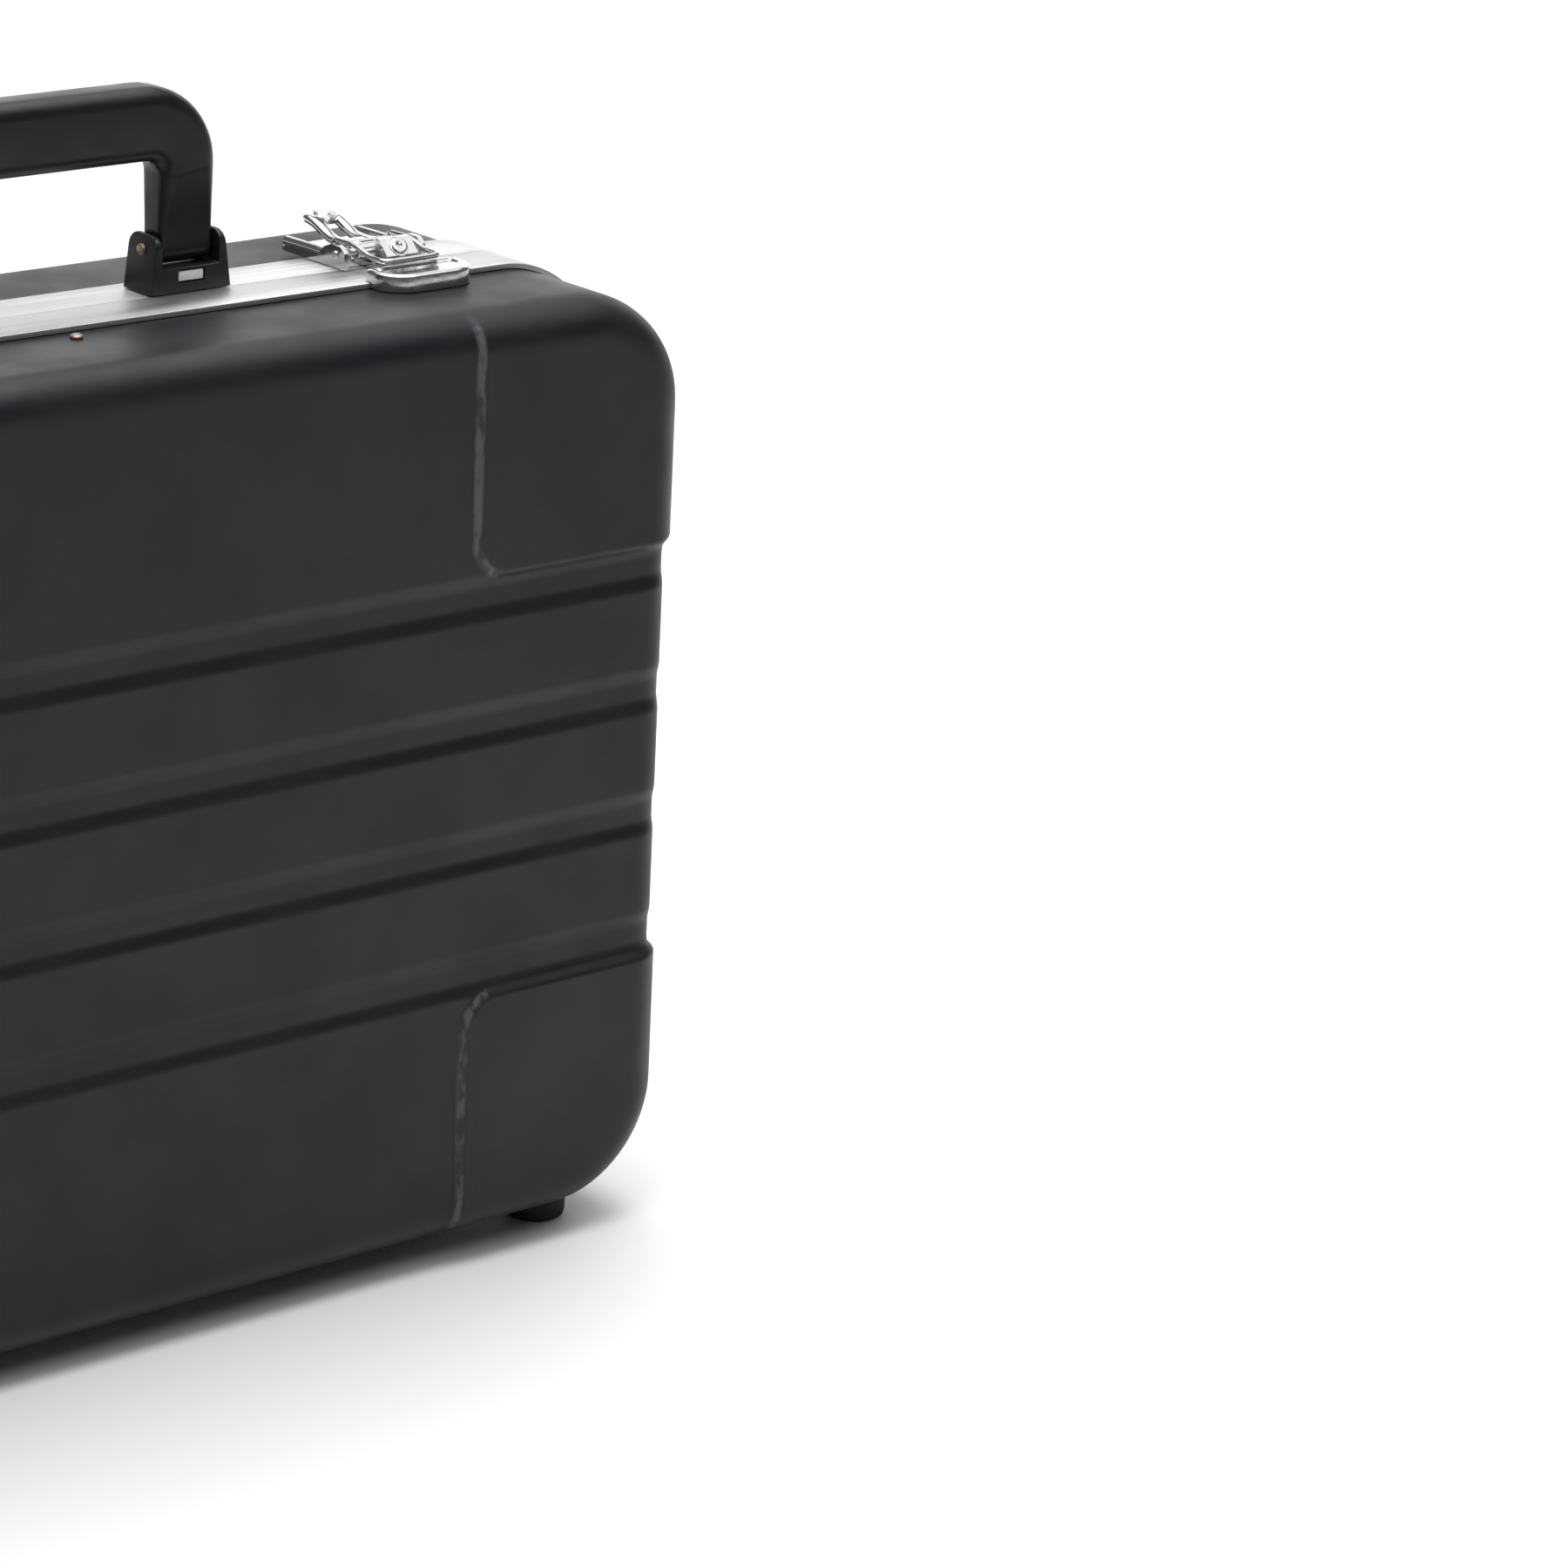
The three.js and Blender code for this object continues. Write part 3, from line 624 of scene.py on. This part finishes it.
# ---- valances ----
def outline_loop(offset, arc_steps=20, side_steps=24):
    """The case outline grown by offset, as (x, z) points, the same number for every offset."""
    radius = CORNER_RADIUS + offset
    core_x = HALF_WIDTH - CORNER_RADIUS
    core_z = HALF_HEIGHT - CORNER_RADIUS
    corners = ((1, -1, -0.5), (1, 1, 0.0), (-1, 1, 0.5), (-1, -1, 1.0))
    points = []
    for sx, sz, start in corners:
        for i in range(arc_steps + 1):
            angle = math.pi * (start + 0.5 * i / arc_steps)
            points.append((
                sx * core_x + radius * math.cos(angle),
                sz * core_z + radius * math.sin(angle),
            ))
        end = points[-1]
        nx, nz, next_start = corners[(corners.index((sx, sz, start)) + 1) % 4]
        angle = math.pi * next_start
        target = (nx * core_x + radius * math.cos(angle), nz * core_z + radius * math.sin(angle))
        for i in range(1, side_steps):
            t = i / side_steps
            points.append((end[0] + (target[0] - end[0]) * t, end[1] + (target[1] - end[1]) * t))
    return points


def make_valance(name, side, body):
    """The brushed edge frame: a folded section swept round the case outline."""
    sheet = 1.6 * MM
    near = 0.2 * MM
    play = 0.3 * MM
    leg = max(abs(valance_low.y), abs(valance_high.y))
    inner = -SHELL_WALL - play
    bead = 0.25 * MM
    bulge = bead * 0.3
    section = [
        (VALANCE_RISE - bead, near),
        (VALANCE_RISE - bulge, near + bulge),
        (VALANCE_RISE, near + bead),
        (VALANCE_RISE, VALANCE_WIDTH / 2),
        (VALANCE_RISE, VALANCE_WIDTH - bead),
        (VALANCE_RISE - bulge, VALANCE_WIDTH - bulge),
        (VALANCE_RISE - bead, VALANCE_WIDTH),
        (play, VALANCE_WIDTH),
        (play, near + sheet),
        (inner, near + sheet),
        (inner, leg),
        (inner - sheet, leg),
        (inner - sheet, near),
    ]
    loops = [outline_loop(offset) for offset, _ in section]
    size = len(loops[0])
    points = [
        (x, side * place, z + CASE_MIDDLE)
        for loop, (_, place) in zip(loops, section)
        for x, z in loop
    ]
    faces = []
    count = len(section)
    for s in range(count):
        first = [s * size + i for i in range(size)]
        second = [(s + 1) % count * size + i for i in range(size)]
        faces += band(first, second)
    piece = new_piece(f"{name}_frame", points, faces)
    add_flow(piece, loops, section)
    smooth_with_creases(piece.data, SWEPT_CREASE)
    return dress(piece, body, "valance_metal", FINISHES["valance_metal"], name)


def add_flow(piece, loops, section):
    """A UV map in metres: along the outline, and across the section."""
    size = len(loops[0])
    along = [0.0]
    for (ax, az), (bx, bz) in zip(loops[0], loops[0][1:] + loops[0][:1]):
        along.append(along[-1] + math.hypot(bx - ax, bz - az))
    across = [0.0]
    for (ao, ay), (bo, by) in zip(section, section[1:] + section[:1]):
        across.append(across[-1] + math.hypot(bo - ao, by - ay))
    layer = piece.data.uv_layers.new(name="flow")
    for polygon in piece.data.polygons:
        rows = [piece.data.loops[i].vertex_index // size for i in polygon.loop_indices]
        columns = [piece.data.loops[i].vertex_index % size for i in polygon.loop_indices]
        for i, row, column in zip(polygon.loop_indices, rows, columns):
            wraps_row = row == 0 and len(section) - 1 in rows
            wraps_column = column == 0 and size - 1 in columns
            v = across[len(section)] if wraps_row else across[row]
            u = along[size] if wraps_column else along[column]
            layer.data[i].uv = (u, v)


# ---- handle ----
def rounded_section(half_a, half_b, radius, steps=6):
    """Points round a rounded rectangle, as fractions along two half axes."""
    radius = min(radius, half_a * 0.98, half_b * 0.98)
    points = []
    for sa, sb, start in ((1, 1, 0.0), (-1, 1, 0.5), (-1, -1, 1.0), (1, -1, 1.5)):
        for i in range(steps + 1):
            angle = math.pi * (start + 0.5 * i / steps)
            points.append((
                sa * (half_a - radius) + radius * math.cos(angle),
                sb * (half_b - radius) + radius * math.sin(angle),
            ))
    return points


def frame_joint(name):
    return next(joint for joint in frame["joints"] if joint["name"] == name)


def handle_stations():
    """Right half of the handle from its foot to the middle of the grip.
    Each station is (outer point, inner point, half depth, corner radius), points as (x, z)."""
    bracket_low, bracket_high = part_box("handle_bracket_right")
    middle = (bracket_low.x + bracket_high.x) / 2
    half_leg = handle_high.x - middle
    outer = middle + half_leg
    inner = middle - half_leg
    pivot_z = frame_joint("handle_fold")["pos_m"][2]
    foot = 5.4 * MM
    depth = (handle_high.y - handle_low.y) / 2
    top = handle_high.z
    grip = 25 * MM
    turn = 27 * MM
    inner_turn = 5 * MM
    grip_corner = 6 * MM
    taper_start = 4 * MM
    taper_length = 27 * MM
    foot_steps = 6
    turn_steps = 14
    grip_steps = 10
    foot_sweep = 0.96 * math.pi / 2
    foot_corner = 1.6 * MM
    foot_inset = 1.2 * MM
    thinnest = 0.8 * MM
    stations = []
    for i in range(foot_steps + 1):
        angle = foot_sweep * (1 - i / foot_steps)
        rise = -foot * math.sin(angle)
        half = foot * math.cos(angle)
        inset = foot_inset * (1 - math.cos(angle * 0.9))
        stations.append((
            (outer - inset, pivot_z + rise),
            (inner + inset, pivot_z + rise),
            max(half, thinnest),
            foot_corner,
        ))
    turn_z = top - turn
    for z in spread(pivot_z + 3 * MM, turn_z - 0.5 * MM, 2.5 * MM):
        t = float(smoothstep((z - pivot_z - taper_start) / taper_length))
        half = foot + (depth - foot) * t
        inner_z = min(z, top - grip - inner_turn - (turn_z - z) * 0.4)
        stations.append(((outer, z), (inner, inner_z), half, (2 + 4 * t) * MM))
    for i in range(turn_steps + 1):
        angle = math.pi / 2 * i / turn_steps
        stations.append((
            (outer - turn + turn * math.cos(angle), turn_z + turn * math.sin(angle)),
            (
                inner - inner_turn + inner_turn * math.cos(angle),
                top - grip - inner_turn + inner_turn * math.sin(angle),
            ),
            depth,
            grip_corner,
        ))
    start = outer - turn
    for i in range(1, grip_steps + 1):
        t = 1 - i / grip_steps
        inner_point = ((inner - inner_turn) * t, top - grip)
        stations.append(((start * t, top), inner_point, depth, grip_corner))
    return stations


def make_handle():
    """The handle: one closed body lofted through rounded sections along the arch."""
    right = handle_stations()
    left = [((-o[0], o[1]), (-i[0], i[1]), h, r) for o, i, h, r in right[-2::-1]]
    middle_y = (handle_low.y + handle_high.y) / 2
    points = []
    for (ox, oz), (ix, iz), half, radius in right + left:
        cx, cz = (ox + ix) / 2, (oz + iz) / 2
        length = math.hypot(ox - ix, oz - iz)
        ax, az = (ox - ix) / length, (oz - iz) / length
        for a, b in rounded_section(length / 2, half, radius):
            points.append((cx + ax * a, middle_y + b, cz + az * a))
    size = len(rounded_section(1, 1, 0.5))
    count = len(points) // size
    faces = []
    for s in range(count - 1):
        faces += band(range(s * size, (s + 1) * size), range((s + 1) * size, (s + 2) * size))
    faces.append(tuple(range(size))[::-1])
    faces.append(tuple(range((count - 1) * size, count * size)))
    piece = new_piece("handle_grip", points, faces)
    smooth_with_creases(piece.data, HANDLE_CREASE)
    return dress(piece, "handle", "handle_plastic", FINISHES["handle_plastic"], "handle")


# ---- solids in millimetres, for the bracket and the latch ----
def add_faces(edit, rings, closed_ends=True):
    """Adds a closed tube through rings of points, all with the same number of points."""
    rows = [[edit.verts.new(point) for point in ring] for ring in rings]
    size = len(rows[0])
    for first, second in zip(rows, rows[1:]):
        for i in range(size):
            j = (i + 1) % size
            edit.faces.new((first[i], first[j], second[j], second[i]))
    if closed_ends:
        edit.faces.new(rows[0][::-1])
        edit.faces.new(rows[-1])
    return rows


def add_prism(edit, outline, axis, low, high):
    """Extrudes an outline along x, y or z; the outline's points are the other two axes."""
    place = {
        "x": lambda a, b, h: (h, a, b),
        "y": lambda a, b, h: (a, h, b),
        "z": lambda a, b, h: (a, b, h),
    }[axis]
    rings = [[place(a, b, h) for a, b in outline] for h in (low, high)]
    return add_faces(edit, rings)


def add_rod(edit, radius, low, high, y, z, steps=20):
    """A round bar along x with its ends rounded off."""
    soft = min(0.35, radius / 2)
    turns = [2 * math.pi * i / steps for i in range(steps)]
    rings = []
    for x, inset in ((low, soft), (low + soft, 0), (high - soft, 0), (high, soft)):
        r = radius - inset
        rings.append([(x, y + r * math.cos(a), z + r * math.sin(a)) for a in turns])
    add_faces(edit, rings)


def add_turned(edit, profile, centre, axis, steps=28):
    """Turns a (radius, height) profile about an axis through the centre."""
    axis = Vector(axis).normalized()
    side = Vector((1, 0, 0))
    other = axis.cross(side)
    pinhole = 0.02
    turns = [2 * math.pi * i / steps for i in range(steps)]
    rings = []
    for radius, height in profile:
        middle = Vector(centre) + axis * height
        reach = max(radius, pinhole)
        rings.append([
            middle + side * reach * math.cos(a) + other * reach * math.sin(a) for a in turns
        ])
    add_faces(edit, rings)


def add_wire(edit, path, half_wide, half_high, closed=False, steps=3):
    """Sweeps a rounded section along a path; its width stays level."""
    section = rounded_section(half_wide, half_high, min(half_wide, half_high) * 0.9, steps)
    count = len(path)
    rings = []
    for i, point in enumerate(path):
        before = path[i - 1] if closed or i else path[0]
        after = path[(i + 1) % count] if closed or i < count - 1 else path[-1]
        ahead = (Vector(after) - Vector(before)).normalized()
        across = ahead.cross(Vector((0, 0, 1))).normalized()
        above = across.cross(ahead)
        rings.append([Vector(point) + across * a + above * b for a, b in section])
    add_faces(edit, rings + ([rings[0]] if closed else []), not closed)


def placed(edit, name, origin):
    """Turns a bmesh drawn in millimetres into a piece standing at its origin."""
    bmesh.ops.recalc_face_normals(edit, faces=edit.faces)
    bmesh.ops.scale(edit, vec=(MM, MM, MM), verts=edit.verts)
    bmesh.ops.translate(edit, vec=origin, verts=edit.verts)
    mesh = bpy.data.meshes.new(name)
    edit.to_mesh(mesh)
    edit.free()
    smooth_with_creases(mesh)
    return link_object(name, mesh)


# ---- bracket ----
def make_bracket(side):
    """A forked bracket: two ears with rounded shoulders rising from a flared foot."""
    node = f"handle_bracket_{side}"
    low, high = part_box(node)
    foot = (high.x - low.x) / 2 / MM
    half_depth = (high.y - low.y) / 2 / MM
    height = (high.z - low.z) / MM
    crown = foot - 2.5
    slot = 11.3
    slot_floor = 8.5
    shoulder = 4.5
    window_half_width = 5.4
    window_half_height = 2.2
    window_depth = 1.3
    window_middle = 5.6
    arc = [math.pi / 2 * i / 6 for i in range(7)]
    back = [(half_depth, 0), (half_depth, slot_floor)]
    back += [
        (half_depth - shoulder * (1 - math.cos(a)), height - shoulder * (1 - math.sin(a)))
        for a in arc
    ]
    profile = back + [(-y, z) for y, z in back[::-1]]
    lean = (foot - crown) / height
    rings = []
    for way in (1, -1):
        outer = [(way * (foot - lean * z), y, z) for y, z in profile]
        tall = [(way * slot, y, z) for y, z in profile]
        low_ring = [(way * slot, y, min(z, slot_floor)) for y, z in profile]
        rings += [outer, tall, low_ring] if way > 0 else [low_ring, tall, outer]
    edit = bmesh.new()
    add_faces(edit, rings)
    bmesh.ops.remove_doubles(edit, verts=edit.verts, dist=0.001)
    dissolve_flat(edit, 0.5)
    round_edges(edit, 0.6)
    origin = ((low.x + high.x) / 2, (low.y + high.y) / 2, low.z)
    piece = placed(edit, f"{node}_shape", origin)
    window = bmesh.new()
    outline = rounded_section(window_half_width, window_half_height, 0.9, 4)
    add_prism(window, outline, "y", -half_depth - 1, -half_depth + window_depth)
    bmesh.ops.translate(window, vec=(0, 0, window_middle), verts=window.verts)
    carve(piece, placed(window, "window", origin))
    dress(piece, "case_base", "bracket_plastic", FINISHES["bracket_plastic"], node)


def carve(piece, cutter):
    """Takes the cutter's shape out of the piece and removes the cutter."""
    change = piece.modifiers.new("carve", "BOOLEAN")
    change.object = cutter
    change.solver = "EXACT"
    bpy.context.view_layer.update()
    ready = piece.evaluated_get(bpy.context.evaluated_depsgraph_get())
    mesh = bpy.data.meshes.new_from_object(ready)
    piece.modifiers.clear()
    piece.data = mesh
    smooth_with_creases(mesh)
    bpy.data.objects.remove(cutter)


# ---- latch ----
LEVER_PIN = (2, 5)
BAIL_PIVOT = (9, 6)
KEY_FACE = (-10.5, 8.5)
KEY_WAY = (0, -1, 1)
PLATE_BOTTOM = 0.3
PLATE_TOP = 1.9
STRIKE_STEP = -(VALANCE_WIDTH / MM + 0.7)       # where the strike's underside steps to the shell


def plate_section(front, back):
    """A flat plate's outline in side view, lying on the valances."""
    return [(front, PLATE_BOTTOM), (back, PLATE_BOTTOM), (back, PLATE_TOP), (front, PLATE_TOP)]


def latch_origin(side):
    low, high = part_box(f"latch_base_{side}")
    return ((low.x + high.x) / 2, 0, valance_high.z)


def latch_piece(edit, node, side, body):
    piece = placed(edit, f"{node}_shape", latch_origin(side))
    dress(piece, body, "latch_chrome", FINISHES["latch_chrome"], node)


def make_latch_base(side):
    """A folded plate with a thick rolled flange each side, and the lock's housing in front."""
    low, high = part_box(f"latch_base_{side}")
    half = (high.x - low.x) / 2 / MM
    back = high.y / MM
    edit = bmesh.new()
    add_prism(edit, plate_section(0.8, back), "x", -half + 0.4, half - 0.4)
    flange = [
        (-3, PLATE_BOTTOM), (back - 2, PLATE_BOTTOM), (back - 2, 3.0), (12, 3.4),
        (8.5, 6.6), (5, 8.0), (-0.5, 8.0), (-3, 6),
    ]
    flange_sheet = 1.8
    for way in (-1, 1):
        add_prism(edit, flange, "x", *sorted((way * half, way * (half - flange_sheet))))
    housing = [(-13, PLATE_BOTTOM), (-6, PLATE_BOTTOM), (-6, 11), (-8, 11), (-13, 6)]
    add_prism(edit, housing, "x", -6.5, 6.5)
    add_prism(edit, plate_section(-12.4, 2), "x", -6.3, 6.3)
    round_edges(edit, 0.7, 4)
    bead_radius = 1.7
    bead_front = -2.4
    for way in (-1, 1):
        bead = [
            (way * (half - 1.75), y, 3.5 + 0.25 * math.sin(math.pi * (y - bead_front) / back))
            for y in spread(bead_front, back - 0.4, 3)
        ]
        add_wire(edit, bead, bead_radius, bead_radius, steps=4)
    collar = [(3.35, -0.6), (3.9, -0.6), (3.9, 0.1), (3.8, 0.25), (3.45, 0.25), (3.35, 0.1)]
    add_turned(edit, [*collar, collar[0]], (0, *KEY_FACE), KEY_WAY)
    latch_piece(edit, f"latch_base_{side}", side, "case_base")


def make_key(side):
    """The lock's cylinder: a bright ring round a deep dark hole."""
    profile = [
        (0, -5), (3, -5), (3, 0.75), (2.9, 0.93), (2.7, 1.0),
        (1.4, 1.0), (1.2, 0.93), (1.1, 0.75), (1.1, -3), (0, -3),
    ]
    edit = bmesh.new()
    add_turned(edit, profile, (0, *KEY_FACE), KEY_WAY)
    latch_piece(edit, f"key_cylinder_{side}", side, f"key_{side}")


def lever_height(y, tip):
    """The lever's middle height: level near its pin, then curling up to the thumb tab."""
    curl_start = tip - 22
    curl_length = 16
    curl_rise = 4.6
    return LEVER_PIN[1] + curl_rise * float(smoothstep((y - curl_start) / curl_length))


def make_lever(side):
    """Two rails joined by a round thumb tab, on a plate that turns on the lever pin."""
    low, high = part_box(f"latch_lever_{side}")
    tip = high.y / MM
    rail = 4.8
    tab = 6.8
    rim = tab - 2
    centre = tip - tab
    edit = bmesh.new()
    straight = [(-rail, y, lever_height(y, tip)) for y in range(9, 31, 3)]
    turn = []
    turn_steps = 12
    for i in range(turn_steps + 1):
        angle = math.pi * (1 - i / turn_steps)
        y = centre + rim * math.sin(angle)
        turn.append((rim * math.cos(angle), y, lever_height(y, tip)))
    rails = straight + turn + [(-x, y, z) for x, y, z in straight[::-1]]
    add_wire(edit, rails, 2.0, 1.6, steps=4)
    dish = [
        (0, -1.2), (tab - 1.4, -1.2), (tab - 1.4, 1.35),
        (tab * 0.6, 0.9), (tab * 0.3, 0.65), (0, 0.6),
    ]
    add_turned(edit, dish, (0, centre, lever_height(centre, tip)), (0, 0, 1))
    plate = bmesh.new()
    half = 9
    plan = [(-half, 2), (half, 2), (half, 11), (6.2, 15), (-6.2, 15), (-half, 11)]
    add_prism(plate, plan, "z", 3.8, 6.3)
    round_edges(plate, 0.9, 4)
    joined = bpy.data.meshes.new("plate")
    plate.to_mesh(joined)
    plate.free()
    edit.from_mesh(joined)
    eyelet = [(1.0, -0.5), (2.3, -0.5), (2.3, 0.3), (1.9, 0.6), (1.3, 0.6), (1.0, 0.3)]
    for way in (-1, 1):
        add_turned(edit, [*eyelet, eyelet[0]], (way * 5.2, 6.5, 6.3), (0, 0, 1), 20)
    add_rod(edit, 2.8, -half, half, *LEVER_PIN)
    add_rod(edit, 1.2, -12.9, 12.9, *BAIL_PIVOT)
    latch_piece(edit, f"latch_lever_{side}", side, f"lever_{side}")


def make_bail(side):
    """A bent wire from eyes on the lever, forward over the strike."""
    low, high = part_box(f"latch_bail_{side}")
    front = low.y / MM + 1.1
    wire = 0.95
    arm = 11.5
    turn = 2.5
    level = 5.8
    side_path = [
        (BAIL_PIVOT[0], 7.9), (4, 8.1), (0.5, 8.1), (-2.5, 7.8),
        (-6, 6.9), (-9, 6.1), (-12, level), (front + turn + 0.8, level),
    ]
    path = [(-arm, y, z) for y, z in side_path]
    turn_steps = 5
    for i in range(turn_steps + 1):
        angle = math.pi / 2 * i / turn_steps
        x = -arm + turn * (1 - math.cos(angle))
        path.append((x, front + turn * (1 - math.sin(angle)), level))
    middle = [(0, front, level)]
    edit = bmesh.new()
    add_wire(edit, path + middle + [(-x, y, z) for x, y, z in path[::-1]], wire, wire)
    for way in (-1, 1):
        add_rod(edit, 2.5, *sorted((way * 10.4, way * 12.5)), *BAIL_PIVOT)
    latch_piece(edit, f"latch_bail_{side}", side, f"bail_{side}")


def strike_outline(inset, half, back, front):
    """The strike's plan, rounded a little at the back and more at the front.
    Two points on each side straddle the line where its underside steps down."""
    corners = ((-1, back, -1, 4), (-1, front, 1, 11), (1, front, 1, 11), (1, back, -1, 4))
    starts = (0.5, 1.0, 1.5, 0.0)
    arc_steps = 10
    nudges = (0.15, -0.15)
    points = []
    for (way, edge, inward, corner), start in zip(corners, starts):
        if start in (0.0, 1.0):
            points += [(way * (half - inset), STRIKE_STEP - way * nudge) for nudge in nudges]
        for i in range(arc_steps + 1):
            angle = math.pi * (start + 0.5 * i / arc_steps)
            points.append((
                way * (half - corner) + (corner - inset) * math.cos(angle),
                edge + inward * corner + (corner - inset) * math.sin(angle),
            ))
    return points


def make_strike(side):
    """A pressed catch plate: a rounded rim round a shallow dish, stepping down to the shell."""
    node = f"latch_strike_{side}"
    low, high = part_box(node)
    half = (high.x - low.x) / 2 / MM
    front, back = low.y / MM, high.y / MM
    top = (high.z - valance_high.z) / MM
    bottom = (low.z - valance_high.z) / MM

    def underside(y):
        return bottom if y < STRIKE_STEP else PLATE_BOTTOM

    stations = [
        (0.0, None), (0.0, top - 1.3), (0.25, top - 0.55), (0.8, top - 0.1), (1.6, top),
        (2.6, top - 0.05), (3.3, top - 0.4), (3.9, top - 0.75), (5.5, top - 0.8),
    ]
    rings = []
    for inset, z in stations:
        outline = strike_outline(inset, half, back, front)
        rings.append([(x, y, underside(y) if z is None else z) for x, y in outline])
    inside = strike_outline(1.4, half, back, front)
    under = [(x, y, underside(y)) for x, y in inside]
    ceiling = [(x, y, top - 2) for x, y in inside]
    edit = bmesh.new()
    add_faces(edit, [ceiling, under, *rings])
    latch_piece(edit, node, side, "lid")


# ---- small parts ----
def make_small_parts():
    for side in SIDES:
        make_bracket(side)
        make_latch_base(side)
        make_key(side)
        make_lever(side)
        make_bail(side)
        make_strike(side)
        softened(f"bracket_plate_{side}", "case_base", 0.35 * MM, "valance_metal", WINDOW_METAL)
        softened(f"hinge_leaf_base_{side}", "case_base", 0.25 * MM, "plain_steel")
        softened(f"hinge_leaf_lid_{side}", "lid", 0.25 * MM, "plain_steel")
        softened(f"tray_ledge_{side}", "case_base", 0.3 * MM, "valance_metal", PLATE_METAL)
        for end, body in (("front", "lid"), ("back", "case_base")):
            softened(f"foot_{end}_{side}", body, 0.3 * MM, "foot_rubber")
            softened(f"foot_screw_{end}_{side}", body, 0.2 * MM, "plain_steel")
        for pin in ("handle_pin", "lever_pin", "hinge_pin"):
            slot = "rivet_metal" if pin == "handle_pin" else "plain_steel"
            softened(f"{pin}_{side}", "case_base", 0.2 * MM, slot)
    for end, body in (("front", "lid"), ("back", "case_base")):
        softened(f"rivet_{end}", body, 0.1 * MM, "rivet_metal")
    softened("tray_pan", "tray", 0.5 * MM, "tray_plastic")
    softened("tray_long_divider", "tray", 0.3 * MM, "tray_plastic")
    for place in ("left", "middle", "right"):
        softened(f"tray_cross_divider_{place}", "tray", 0.3 * MM, "tray_plastic")


# ---- studio ----
def make_floor():
    edit = bmesh.new()
    bmesh.ops.create_grid(edit, x_segments=2, y_segments=2, size=30)
    mesh = bpy.data.meshes.new("floor")
    edit.to_mesh(mesh)
    edit.free()
    floor = link_object("floor", mesh)
    mesh.materials.append(floor_finish())
    floor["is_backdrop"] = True


def make_light(name, place, target, size, power):
    data = bpy.data.lights.new(name, "AREA")
    data.shape = "RECTANGLE"
    data.size, data.size_y = size
    data.energy = power
    light = link_object(name, data)
    light.location = place
    aim = Vector(target) - Vector(place)
    light.rotation_euler = aim.to_track_quat("-Z", "Y").to_euler()


def make_sky(strength):
    """A broad overhead glow that lights the whole floor alike."""
    data = bpy.data.lights.new("sky", "SUN")
    data.angle = math.radians(96)
    data.energy = strength
    link_object("sky", data)


def make_world(strength):
    world = bpy.data.worlds.new("studio")
    world.use_nodes = True
    background = world.node_tree.nodes["Background"]
    background.inputs["Color"].default_value = (1, 1, 1, 1)
    background.inputs["Strength"].default_value = strength
    bpy.context.scene.world = world


def make_camera():
    """The photograph's viewpoint: to the left and above, looking past the right half."""
    place = Vector((-1.00127, -1.52120, 0.78828))
    yaw = math.radians(41.286)
    pitch = math.radians(18.235)
    roll = math.radians(2.693)
    data = bpy.data.cameras.new("camera")
    data.lens = 131.37
    data.sensor_width = 36
    data.clip_end = 100
    camera = link_object("camera", data)
    right = Vector((math.cos(yaw), -math.sin(yaw), 0))
    level = Vector((math.sin(yaw), math.cos(yaw), 0))
    forward = level * math.cos(pitch) - Vector((0, 0, math.sin(pitch)))
    above = right.cross(forward)
    turned_right = right * math.cos(roll) + above * math.sin(roll)
    turned_up = above * math.cos(roll) - right * math.sin(roll)
    axes = Matrix((turned_right, turned_up, -forward)).transposed()
    camera.matrix_world = Matrix.Translation(place) @ axes.to_4x4()
    bpy.context.scene.camera = camera


make_camera()
make_floor()
make_world(0.13)
make_sky(1.9)
make_light("overhead", (0.1, 0.1, 1.9), (0.1, 0, 0.2), (1.6, 1.6), 34)
make_light("backdrop", (2.2, 2.6, 1.2), (0, 0, 0.35), (4.5, 2.4), 42)
make_shell("front_shell", -1, "lid")
make_shell("back_shell", 1, "case_base")
make_valance("front_valance", -1, "lid")
make_valance("back_valance", 1, "case_base")
make_handle()
make_small_parts()
bpy.context.scene.view_settings.view_transform = "Standard"

boxes = {"cad": cad_box, "visual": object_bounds()}
{key: [list(corner) for corner in box] for key, box in boxes.items()}
